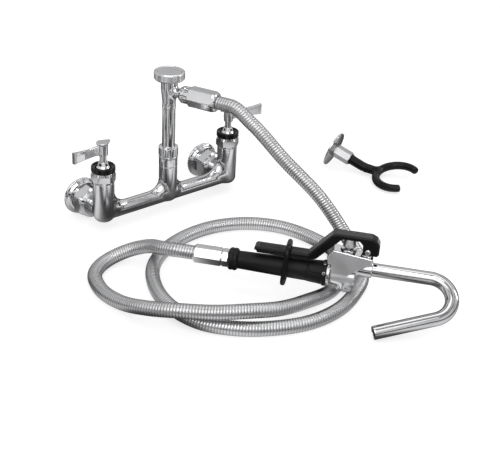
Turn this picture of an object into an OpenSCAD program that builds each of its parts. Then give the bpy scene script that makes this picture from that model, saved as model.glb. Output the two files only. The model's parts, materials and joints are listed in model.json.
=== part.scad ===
// Wall-mounted pot filler with two lever valves, a riser with a vacuum breaker,
// a ribbed metal hose, a squeeze valve with a hook nozzle, and its wall hook.
// Frame: origin midway between the two wall inlets, on the wall plane.
// +X runs to the right-hand valve, +Y goes into the wall, +Z is up.
// The set stands on a table that meets the lowest edges of the wall flanges.

/* [Mixing body] */
// Distance between the two inlets and between the two valves
valve_span = 203.2; // [150:0.1:260]
// Distance from the wall to the valve axes
valve_reach = 58; // [50:0.5:80]
// Radius of the valve towers
tower_r = 13.75; // [13.5:0.05:16]
// Height of the tower tops above the inlet axis
tower_top = 44.5; // [42:0.5:60]
// Depth of the tower bottoms below the inlet axis
tower_drop = 12.4; // [11:0.1:16]
// Radius of the cross bar
bar_r = 10; // [9:0.25:12]
// Radius of the middle boss
boss_r = 12.25; // [11.5:0.05:14]
// Height of the middle boss above the inlet axis
boss_top = 41.9; // [36:0.1:50]

/* [Wall inlets] */
// Radius of the wall flanges
flange_r = 25.4; // [23:0.1:32]
// Thickness of the wall flanges
flange_t = 8; // [5:0.5:10]
// Width over the flats of the coupling nuts
coupling_af = 38.1; // [37:0.1:42]
// Distance from the wall to the near face of the coupling nuts
coupling_from = 13; // [11:0.5:14]
// Length of the coupling nuts
coupling_l = 21; // [19:0.5:23]
// Radius of the threaded bore for the supply nipple
inlet_thread_r = 9.6; // [8:0.1:10.5]

/* [Valve bonnets] */
// Width over the flats of the bonnet nuts
bonnet_af = 28; // [27:0.1:31]
// Height of the bonnet nuts above the tower tops
bonnet_h = 14.3; // [10:0.1:18]
// Radius of the black index rings
index_r = 15.5; // [14.5:0.1:18]
// Height of the black index rings
index_h = 7.7; // [5:0.1:10]

/* [Lever handles] */
// Radius of the valve stems
stem_r = 4.25; // [4:0.05:4.75]
// Radius of the handle hubs
hub_r = 6.5; // [6:0.1:9]
// Height of the handle hubs
hub_h = 15; // [12:0.5:20]
// Length of the handle blades from the stem axis
blade_l = 50.5; // [35:0.5:80]
// Rise of the handle blades from the hub to their end
blade_rise = 4.5; // [0:0.5:6]
// Turn of the resting handles towards the front
handle_turn = 13; // [0:0.5:25]
// Thickness of the handle blades
blade_t = 3.6; // [2.5:0.1:5]
// Height of the handle blades
blade_h = 15.5; // [10:0.1:17]
// Thickness of the top plate on each hub
top_plate_t = 3; // [2:0.1:5]

/* [Riser] */
// Radius of the riser tube
riser_r = 8.55; // [8:0.05:9]
// Wall of the riser tube
riser_wall = 1.35; // [1:0.05:1.5]
// Height of the riser tube's top above the inlet axis
riser_top = 127.5; // [110:0.5:200]
// Radius of the collar on the boss
collar_r = 13; // [12:0.1:15]
// Height of the collar
collar_h = 27.7; // [20:0.1:35]

/* [Vacuum breaker] */
// Radius of the breaker body
breaker_r = 10.75; // [10.5:0.05:13]
// Height of the breaker body from the riser's top to the cap's seat
breaker_h = 33; // [31:0.5:40]
// Radius of the cap
cap_r = 19.9; // [17:0.1:25]
// Height of the cap
cap_h = 13; // [12:0.5:18]
// Lift of the float
float_lift = 4; // [2:0.1:4]

/* [Outlet] */
// Turn of the outlet from +X, seen from above
outlet_turn = -67; // [-90:1:-45]
// Radius of the outlet neck
neck_r = 6.25; // [6:0.05:7.5]
// Distance of the outlet adapter from the riser axis
adapter_from = 18; // [16:0.5:24]
// Length of the outlet adapter's head
adapter_l = 13; // [9:0.5:18]
// Width over the flats of the upper hose nut
upper_nut_af = 24; // [23:0.1:28]
// Length of the upper hose nut
upper_nut_l = 40; // [30:0.5:50]

/* [Hose] */
// Outer radius of the ribbed hose
hose_r = 8.7; // [8:0.05:8.8]
// Depth of the grooves between the hose's ribs
rib_depth = 0.8; // [0.4:0.05:1]
// Bore radius of the hose
hose_bore_r = 5; // [4:0.1:5.4]

/* [Grip] */
// Width over the flats of the lower hose nut
lower_nut_af = 20; // [19:0.1:23]
// Length of the lower hose nut
lower_nut_l = 34; // [28:0.5:40]
// Length of the grip
grip_l = 82.4; // [70:0.2:110]
// Radius of the grip at the hose end
grip_rear_r = 10.75; // [10:0.05:11.5]
// Radius of the grip at the valve end
grip_front_r = 12.75; // [11.5:0.05:12.9]
// Radius of the tube inside the grip
grip_tube_r = 8; // [7.5:0.05:8.5]
// Radius of the end ring behind the grip
end_ring_r = 13.5; // [12:0.1:14.5]
// Length of the front collar
front_collar_l = 23; // [18:0.5:28]
// Radius of the front collar at its wide end
front_collar_r = 15.5; // [14.5:0.1:17]

/* [Squeeze valve] */
// Thickness of the valve body across its flat cheeks
cheek_w = 22; // [20:0.5:24]
// Height of the nozzle axis above the grip axis
nozzle_axis_z = 13; // [12:0.5:15]
// Radius of the plunger stem
plunger_r = 3; // [2.5:0.05:3.5]
// Radius of the plunger's dome
dome_r = 7.6; // [6.5:0.1:8.5]

/* [Squeeze lever] */
// Width of the lever channel
lever_w = 19; // [18:0.5:20]
// Wall of the lever channel
lever_wall = 2.5; // [2:0.1:2.8]
// Distance of the lever pin in front of the plunger
pin_x = 22; // [20:0.5:24]
// Radius of the lever pin
pin_r = 2; // [1.5:0.05:2.5]
// Distance of the lever's rear tip behind the plunger
lever_rear = 109; // [95:0.5:120]

/* [Hold-open ring] */
// Radius of the ring's bar
ring_bar_r = 3; // [2:0.1:3.2]
// Height of the ring over its bar
ring_h = 54; // [52:0.5:60]
// Width of the ring over its bar
ring_w = 38; // [37.6:0.1:40]

/* [Hook nozzle] */
// Outer radius of the nozzle tube
nozzle_r = 7.94; // [7.5:0.01:8.2]
// Wall of the nozzle tube
nozzle_wall = 0.9; // [0.8:0.05:1.5]
// Length of the nozzle's first straight run
nozzle_run = 67.2; // [50:0.2:90]
// Bend radius of the nozzle's hook
nozzle_bend = 26.7; // [22:0.1:40]
// Bend angle of the nozzle's hook
nozzle_bend_angle = 156.5; // [120:0.5:175]
// Length of the nozzle's second straight run
nozzle_end_run = 73.4; // [50:0.2:90]

/* [Wall hook] */
// Radius of the wall hook's flange
hook_flange_r = 27; // [22:0.5:32]
// Width over the flats of the hook's hexagon stem
hook_stem_af = 18; // [16:0.5:22]
// Length of the hook's hexagon stem
hook_stem_l = 27; // [20:0.5:35]
// Radius of the coated hook arm
hook_arm_r = 7.5; // [6:0.1:8]
// Radius of the fork's curve
fork_curve_r = 31; // [27:0.5:40]
// Radius of the fork's tines
tine_r = 6; // [5:0.1:7]
// Angle that each tine sweeps
tine_sweep = 122; // [90:1:135]
// Radius of the threaded bore in the back of the flange
hook_thread_r = 3.4; // [3:0.1:4]

/* [Hidden] */
$fn = 64;
hull_fn = 32;

// Small values shared by all pieces
over = 1;
skin = 0.6;
fit_gap = 0.15;
run_gap = 0.05;
free_gap = 0.4;
chamfer = 1.2;
hex_share = 1 / cos(30);

// Mixing body
bar_drop = 2;
tower_round = 9.5;
tower_fillet_top = 24;
tower_fillet_reach = 29;
boss_fillet_top = 18;
boss_fillet_reach = 22;
inlet_bore_r = 6.5;
inlet_neck_r = 10.6;
lip_r = 14;
lip_t = 4;
shank_face = 24.5;
washer_t = 2.5;
neck_end = shank_face + washer_t;
nut_shoulder = 3;
shank_r = 16.5;
cartridge_r = 9.3;
tower_bore_r = cartridge_r + fit_gap;
disc_seat = 8;
disc_t = 3;
disc_r = 7.6;
skirt_r = disc_r + free_gap;
port_r = 2;
port_x = 3.9;
groove_r = 11.2;
groove_z = 17;
groove_h = 5;
bonnet_thread_r = 11.85;
bonnet_spigot_h = 6.5;
cartridge_flange_t = 2.5;
cartridge_flange_r = 11.5;
bonnet_seat = tower_top - bonnet_spigot_h - cartridge_flange_t;
bar_bore_r = 6;
bar_bore_from = 18;
passage_r = 3;
passage_low_x = 24;
boss_bore_r = 7;
riser_seat = 30;
bar_z = -bar_drop;
riser_bore_r = riser_r - riser_wall;

// Bonnet and handle heights, from the tower top up
index_from = tower_top + bonnet_h;
index_to = index_from + index_h;
index_recess = 2;
index_lip = 2.2;
cartridge_neck_to = index_to - index_recess;
cartridge_cone_h = 7.5;
cartridge_cone_r = 6;
cartridge_to = cartridge_neck_to + cartridge_cone_h;
cartridge_roof = 21;
window_r = 2.2;
foot_h = 2.5;
foot_r = 6.2;
hub_gap = 9;
hub_from = cartridge_to + hub_gap;
hub_to = hub_from + hub_h;
blade_top = hub_to + blade_rise;
stem_to = hub_to - 0;
top_plate_r = 8;
top_lip_r = 2;
top_lip_x = 10.5;
blade_root_h = 13.5;
pad_l = 15;
pad_h = 9;
pad_depth = 0.5;
pad_inset = 2.8;
pad_drop = 0.75;
set_screw_r = 2;
set_screw_l = 5.5;
set_screw_z = hub_from + hub_h / 2;

// Riser and vacuum breaker
collar_from = boss_top;
collar_to = collar_from + collar_h;
collar_groove_z = collar_from + 11.7 * collar_h / 27.7;
collar_groove_w = 1.2;
collar_groove_d = 0.7;
bead_r = 9;
bead_h = 4.5;
spigot_l = 9;
spigot_bore_r = 4.6;
breaker_root_r = 8.75;
breaker_root_h = 2.5;
breaker_cone_h = 18;
breaker_to = riser_top + breaker_h;
breaker_rim_h = 2.5;
outlet_rise = 18.5;
outlet_z = riser_top + outlet_rise;
outlet_bore_r = 4.5;
chamber_rise = 12.5;
chamber_floor = riser_top + chamber_rise;
chamber_r = 8.6;
plate_t = 3;
plate_top = breaker_to + breaker_rim_h;
plate_from = plate_top - plate_t;
plate_r = chamber_r - fit_gap;
guide_r = 2;
vent_r = 1.5;
vent_x = 4.8;
vents = 4;
float_r = chamber_r - free_gap;
float_t = 2.5;
seal_r = 6.6;
seal_t = 2;
float_tip = 2.5;
cap_bore_r = breaker_r + fit_gap;
cap_low_r = 12.2;
cap_cone_h = 2.4;
cap_edge_r = 3;
cap_roof_t = 3;
cap_cavity_r = 9.6;

// Outlet
neck_tail = 6;
adapter_small_r = 9;
adapter_r = 11.2;
adapter_flare_l = 4;
adapter_spigot_r = 9.2;
adapter_spigot_l = 9;
hose_washer_t = 2;
upper_nut_from = adapter_from + adapter_l;
upper_nut_to = upper_nut_from + upper_nut_l;

// Squeeze valve frame: origin where the plunger axis crosses the grip axis,
// +X to the nozzle, +Z to the lever
valve_place = [34, -364, 10];
valve_turn = [-6, 1, -50];
body_rear = -18;
collar_front = -22;
body_ring_r = 15.5;
collar_rear = collar_front - front_collar_l;
collar_small_r = 13;
collar_lip_l = 4;
grip_rear = collar_rear - grip_l;
end_ring_l = 11.3;
end_ring_rear = grip_rear - end_ring_l;
end_ring_edge = 2.2;
adapter_hex_l = 8;
adapter_hex_af = 19.4;
adapter_hex_rear = end_ring_rear - adapter_hex_l;
lower_nut_rear = adapter_hex_rear - lower_nut_l;
grip_tube_bore_r = 6;
water_r = 4.5;
lower_spigot_r = 7.9;
lower_spigot_l = 10;
grip_spigot_l = 11;
barrel_r = 12;
barrel_front = 12;
stem_boss_r = 9.8;
stem_boss_drop = 13.4;
tail_r = 10;
tail_front = 30;
socket_l = 8;
chamber_low_r = 6.6;
seat_z = 4;
seat_bore_r = 4.4;
seat_land = 4;
upper_chamber_r = 6.4;
upper_chamber_top = 19;
guide_top = 24;
packing_r = 5.6;
packing_h = 3;
bonnet_low_r = 9;
bonnet_thread_low_r = 6.4;
bonnet_top = 35.6;
bonnet_from = 32;
dome_from = 38;
dome_to = 46;
dome_top = 48.4;
contact_r = 4;
contact_gap = 0.3;
retainer_h = 2.5;
seat_washer_t = 3.4;
seat_washer_r = 5.6;
spring_r = 4.9;
wire_r = 0.7;
spring_coils = 5;
cap_face = 17.2;
cap_hex_af = 17.6;
cap_wall = 2;
cap_spigot_h = 4;
screw_head_r = 2;
screw_l = 5;
screw_x = -24.8;
screw_angles = [22, 70];

// Lever outline heights and places
rear_top_z = 24;
rear_low_z = 16.5;
rear_notch_z = 19.2;
lever_edge = 3.6;
rise_x = -46;
rise_top_x = -17.6;
flat_top_z = 54.5;
flat_low_z = 48.5;
cheek_x = 16;
cheek_low_z = 32.7;
front_x = 35;
front_slope_x = 31;
front_slope_z = 51;
front_low_x = 34;
pin_z = 37.5;
lug_r = 4.8;
lug_gap = 0.3;
pin_head_r = 3.4;
pin_head_t = 1.4;
ridges = 9;
ridge_pitch = 3.4;
ridge_h = 0.7;
ridge_w = 1.2;

// Hold-open ring
ring_x = -70.2;
ring_z = 6;
ring_lean = 2.65;
ring_corner_r = 11;

// Hook nozzle and wall hook
nozzle_plane_turn = 54.6;
hook_place = [291.5, -83, 1.15];
hook_turn = -70;
hook_dip = 17;
hook_flange_t = 4.5;
hook_rim_t = 2.5;
hook_edge_r = 22;
hook_spigot_r = 6;
hook_thread_l = 16;
arm_bead = 2.6;
tip_round = 4.5;
fork_place = [316.5, -156.5, -15.3];
fork_turn = -75.5;
fork_rise = 3.5;
fork_roll = 10.5;

// Hose route, hand-picked points between the two fittings, table height last
table_z = -flange_r;
lay_z = table_z + hose_r + run_gap;
hose_points = [
    [46, -170, 129.8], [64.5, -213.6, 92.6], [85.5, -264.6, 52.6], [97.5, -298.6, 15.7], [97, -328, -6],
    [80, -351, -16.6], [50, -369, -16.6], [10, -383, -16.6], [-36, -383, -16.6],
    [-77, -368, -16.6], [-112, -344, -16.6], [-138, -310, -16.6], [-146, -268, -16.6],
    [-136, -222, -16.6], [-112, -184, -16.6], [-76, -159, -16.6], [-30, -146, -16.6],
    [12, -148, -16.6], [50, -164, -16.6], [82, -197, -16.6], [97, -242, -16.6],
    [96, -290, -16.6], [74, -328, -16.6], [30, -349, -16.6], [-20, -357, -9],
    [-62, -358, -2], [-97, -347, 2.5], [-133, -326, 3.2], [-161, -302, 3.2],
    [-181, -268, -4], [-190, -230, -13.5], [-191, -190, -16.6], [-177, -156, -16.6],
    [-148, -140, -16], [-120, -147, -8], [-106, -169, 3], [-103, -192, 10]];
ribs = 198;
hose_sides = 8;
bore_rings = 96;
steps = 12;

// Turns of a vector about the axes, in the order of rotate()
function turn_x(v, a) = [v[0], v[1] * cos(a) - v[2] * sin(a), v[1] * sin(a) + v[2] * cos(a)];
function turn_y(v, a) = [v[0] * cos(a) + v[2] * sin(a), v[1], v[2] * cos(a) - v[0] * sin(a)];
function turn_z(v, a) = [v[0] * cos(a) - v[1] * sin(a), v[0] * sin(a) + v[1] * cos(a), v[2]];
function turned(v, a) = turn_z(turn_y(turn_x(v, a[0]), a[1]), a[2]);
function in_valve(v) = valve_place + turned(v, valve_turn);
function unit(v) = v / norm(v);

// Hose centreline: a smooth curve through the points, straight at both ends
outlet_dir = [cos(outlet_turn), sin(outlet_turn), 0];
hose_start = [0, -valve_reach, outlet_z] + upper_nut_to * outlet_dir;
hose_end = in_valve([lower_nut_rear, 0, 0]);
end_dir = turned([1, 0, 0], valve_turn);
straight_l = 2 * hose_r;
knots = concat([hose_start + straight_l * outlet_dir], hose_points, [hose_end - straight_l * end_dir]);
spans = [for (i = [1:len(knots) - 1]) norm(knots[i] - knots[i - 1])];
function knot_dir(i) =
    i == 0 ? outlet_dir :
    i == len(knots) - 1 ? end_dir :
    (spans[i] * (knots[i] - knots[i - 1]) / spans[i - 1]
    + spans[i - 1] * (knots[i + 1] - knots[i]) / spans[i]) / (spans[i] + spans[i - 1]);
function on_span(i, t) =
    (2 * pow(t, 3) - 3 * t * t + 1) * knots[i]
    + (pow(t, 3) - 2 * t * t + t) * spans[i] * knot_dir(i)
    + (3 * t * t - 2 * pow(t, 3)) * knots[i + 1]
    + (pow(t, 3) - t * t) * spans[i] * knot_dir(i + 1);
function laid(p) = [p[0], p[1], max(p[2], lay_z)];
curve = concat([hose_start],
    [for (i = [0:len(spans) - 1], k = [0:steps - 1]) laid(on_span(i, k / steps))],
    [knots[len(knots) - 1], hose_end]);
travel = [for (i = 0, s = 0; i < len(curve);
    s = s + norm(curve[min(i + 1, len(curve) - 1)] - curve[i]), i = i + 1) s];
hose_l = travel[len(travel) - 1];
tables = [for (a = [0:2]) [for (i = [0:len(curve) - 1]) [travel[i], curve[i][a]]]];
function along(s) = [for (a = [0:2]) lookup(s, tables[a])];

// Ring centres, tangents and turning-free side vectors along the hose
rings = 2 * ribs + 1;
centres = [for (i = [0:rings - 1]) along(hose_l * i / (rings - 1))];
function tangent(i) =
    i == 0 ? outlet_dir : i == rings - 1 ? end_dir : unit(centres[i + 1] - centres[i - 1]);
sides = [for (i = 0, u = unit(cross(tangent(0), [0, 0, 1])); i < rings;
    i = i + 1, u = unit(u - (u * tangent(min(i, rings - 1))) * tangent(min(i, rings - 1)))) u];
function ring(i, r) = [for (k = [0:hose_sides - 1])
    centres[i] + r * (cos(360 * k / hose_sides) * sides[i]
    + sin(360 * k / hose_sides) * cross(tangent(i), sides[i]))];
bore_index = [for (i = [0:bore_rings - 1]) round(i * (rings - 1) / (bore_rings - 1))];

// Least distance between parts of the hose that aren't neighbours, less its width
probe = [for (i = [0:4:rings - 1]) centres[i]];
apart = ceil(4 * straight_l / (4 * hose_l / (rings - 1)));
self_gap = min([for (i = [0:len(probe) - 1 - apart], j = [i + apart:len(probe) - 1])
    norm(probe[i] - probe[j])]) - 2 * hose_r;
echo(hose_length = hose_l, hose_self_gap = self_gap);

function arc(c, r, from, to, n) =
    [for (i = [0:n]) c + r * [cos(from + (to - from) * i / n), sin(from + (to - from) * i / n)]];

// Places
module at_tower(side) {
    translate([side * valve_span / 2, -valve_reach, 0])
        rotate([0, 0, side < 0 ? 180 : 0]) children();
}
module at_handle(side) {
    at_tower(side) rotate([0, 0, -side * handle_turn]) children();
}
module at_inlet(side, from_wall) {
    translate([side * valve_span / 2, -from_wall, 0]) rotate([90, 0, 0]) children();
}
module at_riser() {
    translate([0, -valve_reach, 0]) children();
}
module at_outlet(x) {
    translate([0, -valve_reach, outlet_z]) rotate([0, 0, outlet_turn])
        translate([x, 0, 0]) rotate([0, 90, 0]) children();
}
module at_valve() {
    translate(valve_place) rotate(valve_turn) children();
}
module on_grip(x) {
    at_valve() translate([x, 0, 0]) rotate([0, 90, 0]) children();
}
module at_hook() {
    translate(hook_place) rotate([0, 0, hook_turn]) rotate([0, 90 + hook_dip, 0]) children();
}
module at_fork() {
    translate(fork_place) rotate([0, 0, fork_turn]) rotate([0, -fork_rise, 0])
        rotate([fork_roll, 0, 0]) children();
}

// Shared shapes
module tube(r, bore, h) {
    difference() {
        cylinder(r = r, h = h);
        translate([0, 0, -over]) cylinder(r = bore, h = h + 2 * over);
    }
}
module hex_bar(af, h, edge) {
    intersection() {
        cylinder(r = af * hex_share / 2, h = h, $fn = 6);
        rotate_extrude()
            polygon([[0, 0], [af / 2, 0], [af * hex_share / 2 + skin, edge],
                [af * hex_share / 2 + skin, h - edge], [af / 2, h], [0, h]]);
    }
}
module rod_between(p, q, r) {
    d = q - p;
    translate(p) rotate([0, acos(d[2] / norm(d)), atan2(d[1], d[0])])
        cylinder(r = r, h = norm(d));
}

// Mixing body: two towers, the cross bar, the middle boss and the inlet necks
module tower_solid() {
    rotate_extrude()
        polygon(concat([[0, -tower_drop]],
            arc([tower_r - tower_round, tower_round - tower_drop], tower_round, -90, 0, 8),
            [[tower_r, tower_top], [0, tower_top]]));
    hull() {
        translate([0, 0, bar_z])
            cylinder(r = tower_r - skin, h = tower_fillet_top - bar_z, $fn = hull_fn);
        translate([-tower_fillet_reach, 0, bar_z]) rotate([0, 90, 0])
            cylinder(r = bar_r - skin, h = skin, $fn = hull_fn);
    }
}
module tower_bores() {
    translate([0, 0, disc_seat]) cylinder(r = tower_bore_r, h = tower_top);
    cylinder(r = inlet_bore_r, h = disc_seat + over);
    translate([0, 0, bonnet_seat]) cylinder(r = bonnet_thread_r + fit_gap, h = tower_top);
    translate([0, 0, groove_z - groove_h / 2]) cylinder(r = groove_r, h = groove_h);
    rod_between([-tower_bore_r, 0, groove_z], [-passage_low_x, 0, bar_z], passage_r);
}
module mixing_body() {
    color("silver") difference() {
        union() {
            for (side = [-1, 1]) {
                at_tower(side) tower_solid();
                at_inlet(side, neck_end) cylinder(r = inlet_neck_r, h = valve_reach - neck_end);
                at_inlet(side, neck_end) cylinder(r = lip_r, h = lip_t);
            }
            translate([-valve_span / 2, -valve_reach, bar_z]) rotate([0, 90, 0])
                cylinder(r = bar_r, h = valve_span);
            at_riser() translate([0, 0, bar_z]) cylinder(r = boss_r, h = boss_top - bar_z);
            at_riser() hull() {
                translate([0, 0, bar_z])
                    cylinder(r = boss_r - skin, h = boss_fillet_top - bar_z, $fn = hull_fn);
                translate([-boss_fillet_reach, 0, bar_z]) rotate([0, 90, 0])
                    cylinder(r = bar_r - skin, h = 2 * boss_fillet_reach, $fn = hull_fn);
            }
        }
        for (side = [-1, 1]) {
            at_tower(side) tower_bores();
            at_inlet(side, neck_end - over) cylinder(r = inlet_bore_r, h = valve_reach - neck_end + over);
        }
        translate([bar_bore_from - valve_span / 2, -valve_reach, bar_z]) rotate([0, 90, 0])
            cylinder(r = bar_bore_r, h = valve_span - 2 * bar_bore_from);
        at_riser() translate([0, 0, bar_z]) cylinder(r = boss_bore_r, h = boss_top);
        at_riser() translate([0, 0, riser_seat]) cylinder(r = riser_r + fit_gap, h = boss_top);
    }
}

// Wall inlets
module inlet_flange(side) {
    color("silver") at_inlet(side, 0) difference() {
        rotate_extrude()
            polygon([[0, 0], [flange_r, 0], [flange_r, flange_t / 3],
                [flange_r * 0.86, flange_t * 0.8], [flange_r * 0.76, flange_t], [0, flange_t]]);
        translate([0, 0, -over]) cylinder(r = shank_r + fit_gap, h = flange_t + 2 * over);
    }
}
module coupling_nut(side) {
    color("silver") at_inlet(side, coupling_from) difference() {
        hex_bar(coupling_af, coupling_l, 2 * chamfer);
        translate([0, 0, -over]) cylinder(r = shank_r + fit_gap,
            h = neck_end + lip_t - coupling_from + over);
        translate([0, 0, -over]) cylinder(r = inlet_neck_r + fit_gap, h = coupling_l + 2 * over);
    }
}
module inlet_washer(side) {
    color("dimgray") at_inlet(side, shank_face) tube(lip_r, inlet_bore_r, washer_t);
}
module inlet_shank(side) {
    color("darkkhaki") at_inlet(side, 0) difference() {
        cylinder(r = shank_r, h = shank_face);
        translate([0, 0, -over]) cylinder(r = inlet_thread_r, h = shank_face + 2 * over);
    }
}

// Valve bonnets and cartridges
module bonnet_nut(side) {
    color("silver") at_tower(side) difference() {
        union() {
            translate([0, 0, tower_top]) hex_bar(bonnet_af, bonnet_h, 2 * chamfer);
            translate([0, 0, tower_top - bonnet_spigot_h])
                cylinder(r = bonnet_thread_r, h = bonnet_spigot_h + over);
        }
        cylinder(r = tower_bore_r, h = index_to);
    }
}
module index_ring(side) {
    color("black") at_tower(side) translate([0, 0, index_from]) difference() {
        rotate_extrude()
            polygon(concat([[tower_bore_r, 0]],
                arc([index_r - chamfer, chamfer], chamfer, -90, 0, 3),
                arc([index_r - chamfer, index_h - chamfer], chamfer, 0, 90, 3),
                [[index_r - index_lip, index_h], [index_r - index_lip, index_h - index_recess],
                [tower_bore_r, index_h - index_recess]]));
    }
}
module cartridge(side) {
    color("silver") at_tower(side) difference() {
        union() {
            translate([0, 0, disc_seat]) cylinder(r = cartridge_r, h = cartridge_neck_to - disc_seat);
            translate([0, 0, bonnet_seat]) cylinder(r = cartridge_flange_r, h = cartridge_flange_t);
            translate([0, 0, cartridge_neck_to])
                cylinder(r1 = cartridge_r, r2 = cartridge_cone_r, h = cartridge_cone_h);
        }
        translate([0, 0, disc_seat - over]) cylinder(r = skirt_r, h = cartridge_roof - disc_seat + over);
        cylinder(r = stem_r + run_gap, h = cartridge_to + over);
        for (a = [0:90:270]) rotate([0, 0, a]) translate([0, 0, groove_z]) rotate([0, 90, 0])
            cylinder(r = window_r, h = cartridge_r + over);
    }
}
module fixed_disc(side) {
    color("white") at_tower(side) translate([0, 0, disc_seat]) difference() {
        cylinder(r = skirt_r - run_gap, h = disc_t);
        translate([port_x, 0, -over]) cylinder(r = port_r, h = disc_t + 2 * over);
    }
}
module moving_disc(side) {
    color("white") at_tower(side) translate([0, 0, disc_seat + disc_t + run_gap]) difference() {
        cylinder(r = disc_r, h = disc_t - run_gap);
        translate([0, port_x, -over]) cylinder(r = port_r, h = disc_t + 2 * over);
    }
}
module stem(side) {
    color("gainsboro") at_handle(side) difference() {
        union() {
            translate([0, 0, disc_seat + 2 * disc_t]) cylinder(r = foot_r, h = foot_h);
            translate([0, 0, disc_seat + 2 * disc_t])
                cylinder(r = stem_r, h = stem_to - disc_seat - 2 * disc_t);
        }
        translate([-stem_r - over, 0, set_screw_z]) rotate([0, 90, 0])
            cylinder(r = set_screw_r + fit_gap, h = stem_r);
    }
}

// Lever handles: hub, pointed top plate and upright blade with a shallow pad
module handle(side) {
    color("silver") at_handle(side) difference() {
        union() {
            translate([0, 0, hub_from]) cylinder(r = hub_r, h = hub_h + over);
            translate([0, 0, hub_to]) hull() {
                cylinder(r = top_plate_r, h = top_plate_t, $fn = hull_fn);
                translate([-top_lip_x, 0, 0]) cylinder(r = top_lip_r, h = top_plate_t, $fn = hull_fn);
            }
            translate([0, blade_t / 2, 0]) rotate([90, 0, 0]) linear_extrude(blade_t)
                polygon([[stem_r + over, hub_to - blade_root_h], [blade_l - chamfer, blade_top - blade_h],
                    [blade_l, blade_top - blade_h + chamfer], [blade_l, blade_top - chamfer],
                    [blade_l - chamfer, blade_top], [stem_r + over, hub_to]]);
        }
        translate([0, 0, hub_from - over]) cylinder(r = stem_r + run_gap, h = hub_h + over);
        for (face = [-1, 1])
            translate([blade_l - pad_inset - pad_l, face > 0 ? blade_t / 2 - pad_depth : -blade_t / 2 - over,
                blade_top - blade_h / 2 - pad_h / 2 - pad_drop])
                cube([pad_l, pad_depth + over, pad_h]);
        translate([-hub_r - over, 0, set_screw_z]) rotate([0, 90, 0])
            cylinder(r = set_screw_r + run_gap, h = hub_r);
    }
}
module handle_screw(side) {
    color("gray") at_handle(side) translate([-hub_r + run_gap, 0, set_screw_z]) rotate([0, 90, 0])
        difference() {
            cylinder(r = set_screw_r, h = set_screw_l * hub_r / (hub_r + stem_r));
            translate([0, 0, -over]) cylinder(r = set_screw_r / 2, h = over + set_screw_r / 2, $fn = 6);
        }
}

// Riser
module riser_collar() {
    color("silver") at_riser() difference() {
        rotate_extrude()
            polygon([[riser_r + fit_gap, collar_from], [collar_r, collar_from],
                [collar_r, collar_groove_z], [collar_r - collar_groove_d, collar_groove_z],
                [collar_r - collar_groove_d, collar_groove_z + collar_groove_w],
                [collar_r, collar_groove_z + collar_groove_w], [collar_r, collar_to - 2 * chamfer],
                [collar_r - 2 * chamfer, collar_to], [riser_r + fit_gap, collar_to]]);
    }
}
module riser_tube() {
    color("silver") at_riser() difference() {
        union() {
            translate([0, 0, riser_seat]) cylinder(r = riser_r, h = riser_top - riser_seat);
            translate([0, 0, riser_top - bead_h]) cylinder(r = bead_r, h = bead_h);
        }
        translate([0, 0, riser_seat - over])
            cylinder(r = riser_bore_r, h = riser_top - riser_seat + 2 * over);
    }
}

// Vacuum breaker with its outlet neck
module breaker_body() {
    color("silver") difference() {
        union() {
            at_riser() rotate_extrude()
                polygon([[0, riser_top - spigot_l], [riser_bore_r - run_gap, riser_top - spigot_l],
                    [riser_bore_r - run_gap, riser_top], [breaker_root_r, riser_top],
                    [breaker_root_r, riser_top + breaker_root_h],
                    [breaker_r, riser_top + breaker_root_h + breaker_cone_h],
                    [breaker_r, plate_top], [0, plate_top]]);
            at_outlet(0) cylinder(r = neck_r, h = adapter_from + neck_tail);
        }
        at_riser() translate([0, 0, riser_top - spigot_l - over])
            cylinder(r = spigot_bore_r, h = chamber_floor);
        at_riser() translate([0, 0, chamber_floor]) cylinder(r = chamber_r, h = plate_top);
        at_outlet(0) cylinder(r = outlet_bore_r, h = adapter_from + neck_tail + over);
    }
}
module breaker_plate() {
    color("gainsboro") at_riser() translate([0, 0, plate_from]) difference() {
        cylinder(r = plate_r, h = plate_t);
        translate([0, 0, -over]) cylinder(r = guide_r + run_gap, h = plate_t + 2 * over);
        for (i = [0:vents - 1]) rotate([0, 0, 360 * i / vents]) translate([vent_x, 0, -over])
            cylinder(r = vent_r, h = plate_t + 2 * over);
    }
}
module breaker_float() {
    color("whitesmoke") at_riser() translate([0, 0, chamber_floor + run_gap]) {
        cylinder(r = float_r, h = float_t);
        cylinder(r = guide_r, h = plate_top + float_tip - chamber_floor);
        translate([0, 0, plate_from - chamber_floor - float_lift - 2 * seal_t - 2 * run_gap])
            cylinder(r = seal_r - skin, h = seal_t);
    }
}
module breaker_seal() {
    color("dimgray") at_riser()
        translate([0, 0, plate_from - float_lift - seal_t - run_gap])
            tube(seal_r, guide_r, seal_t);
}
module breaker_cap() {
    color("silver") at_riser() translate([0, 0, breaker_to]) difference() {
        rotate_extrude()
            polygon(concat([[0, 0], [cap_low_r, 0], [cap_r - skin, cap_cone_h], [cap_r, cap_cone_h + skin]],
                arc([cap_r - cap_edge_r, cap_h - cap_edge_r], cap_edge_r, 0, 90, 6),
                [[0, cap_h]]));
        translate([0, 0, -over]) cylinder(r = cap_bore_r, h = breaker_rim_h + over);
        cylinder(r = cap_cavity_r, h = cap_h - cap_roof_t);
    }
}

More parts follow.
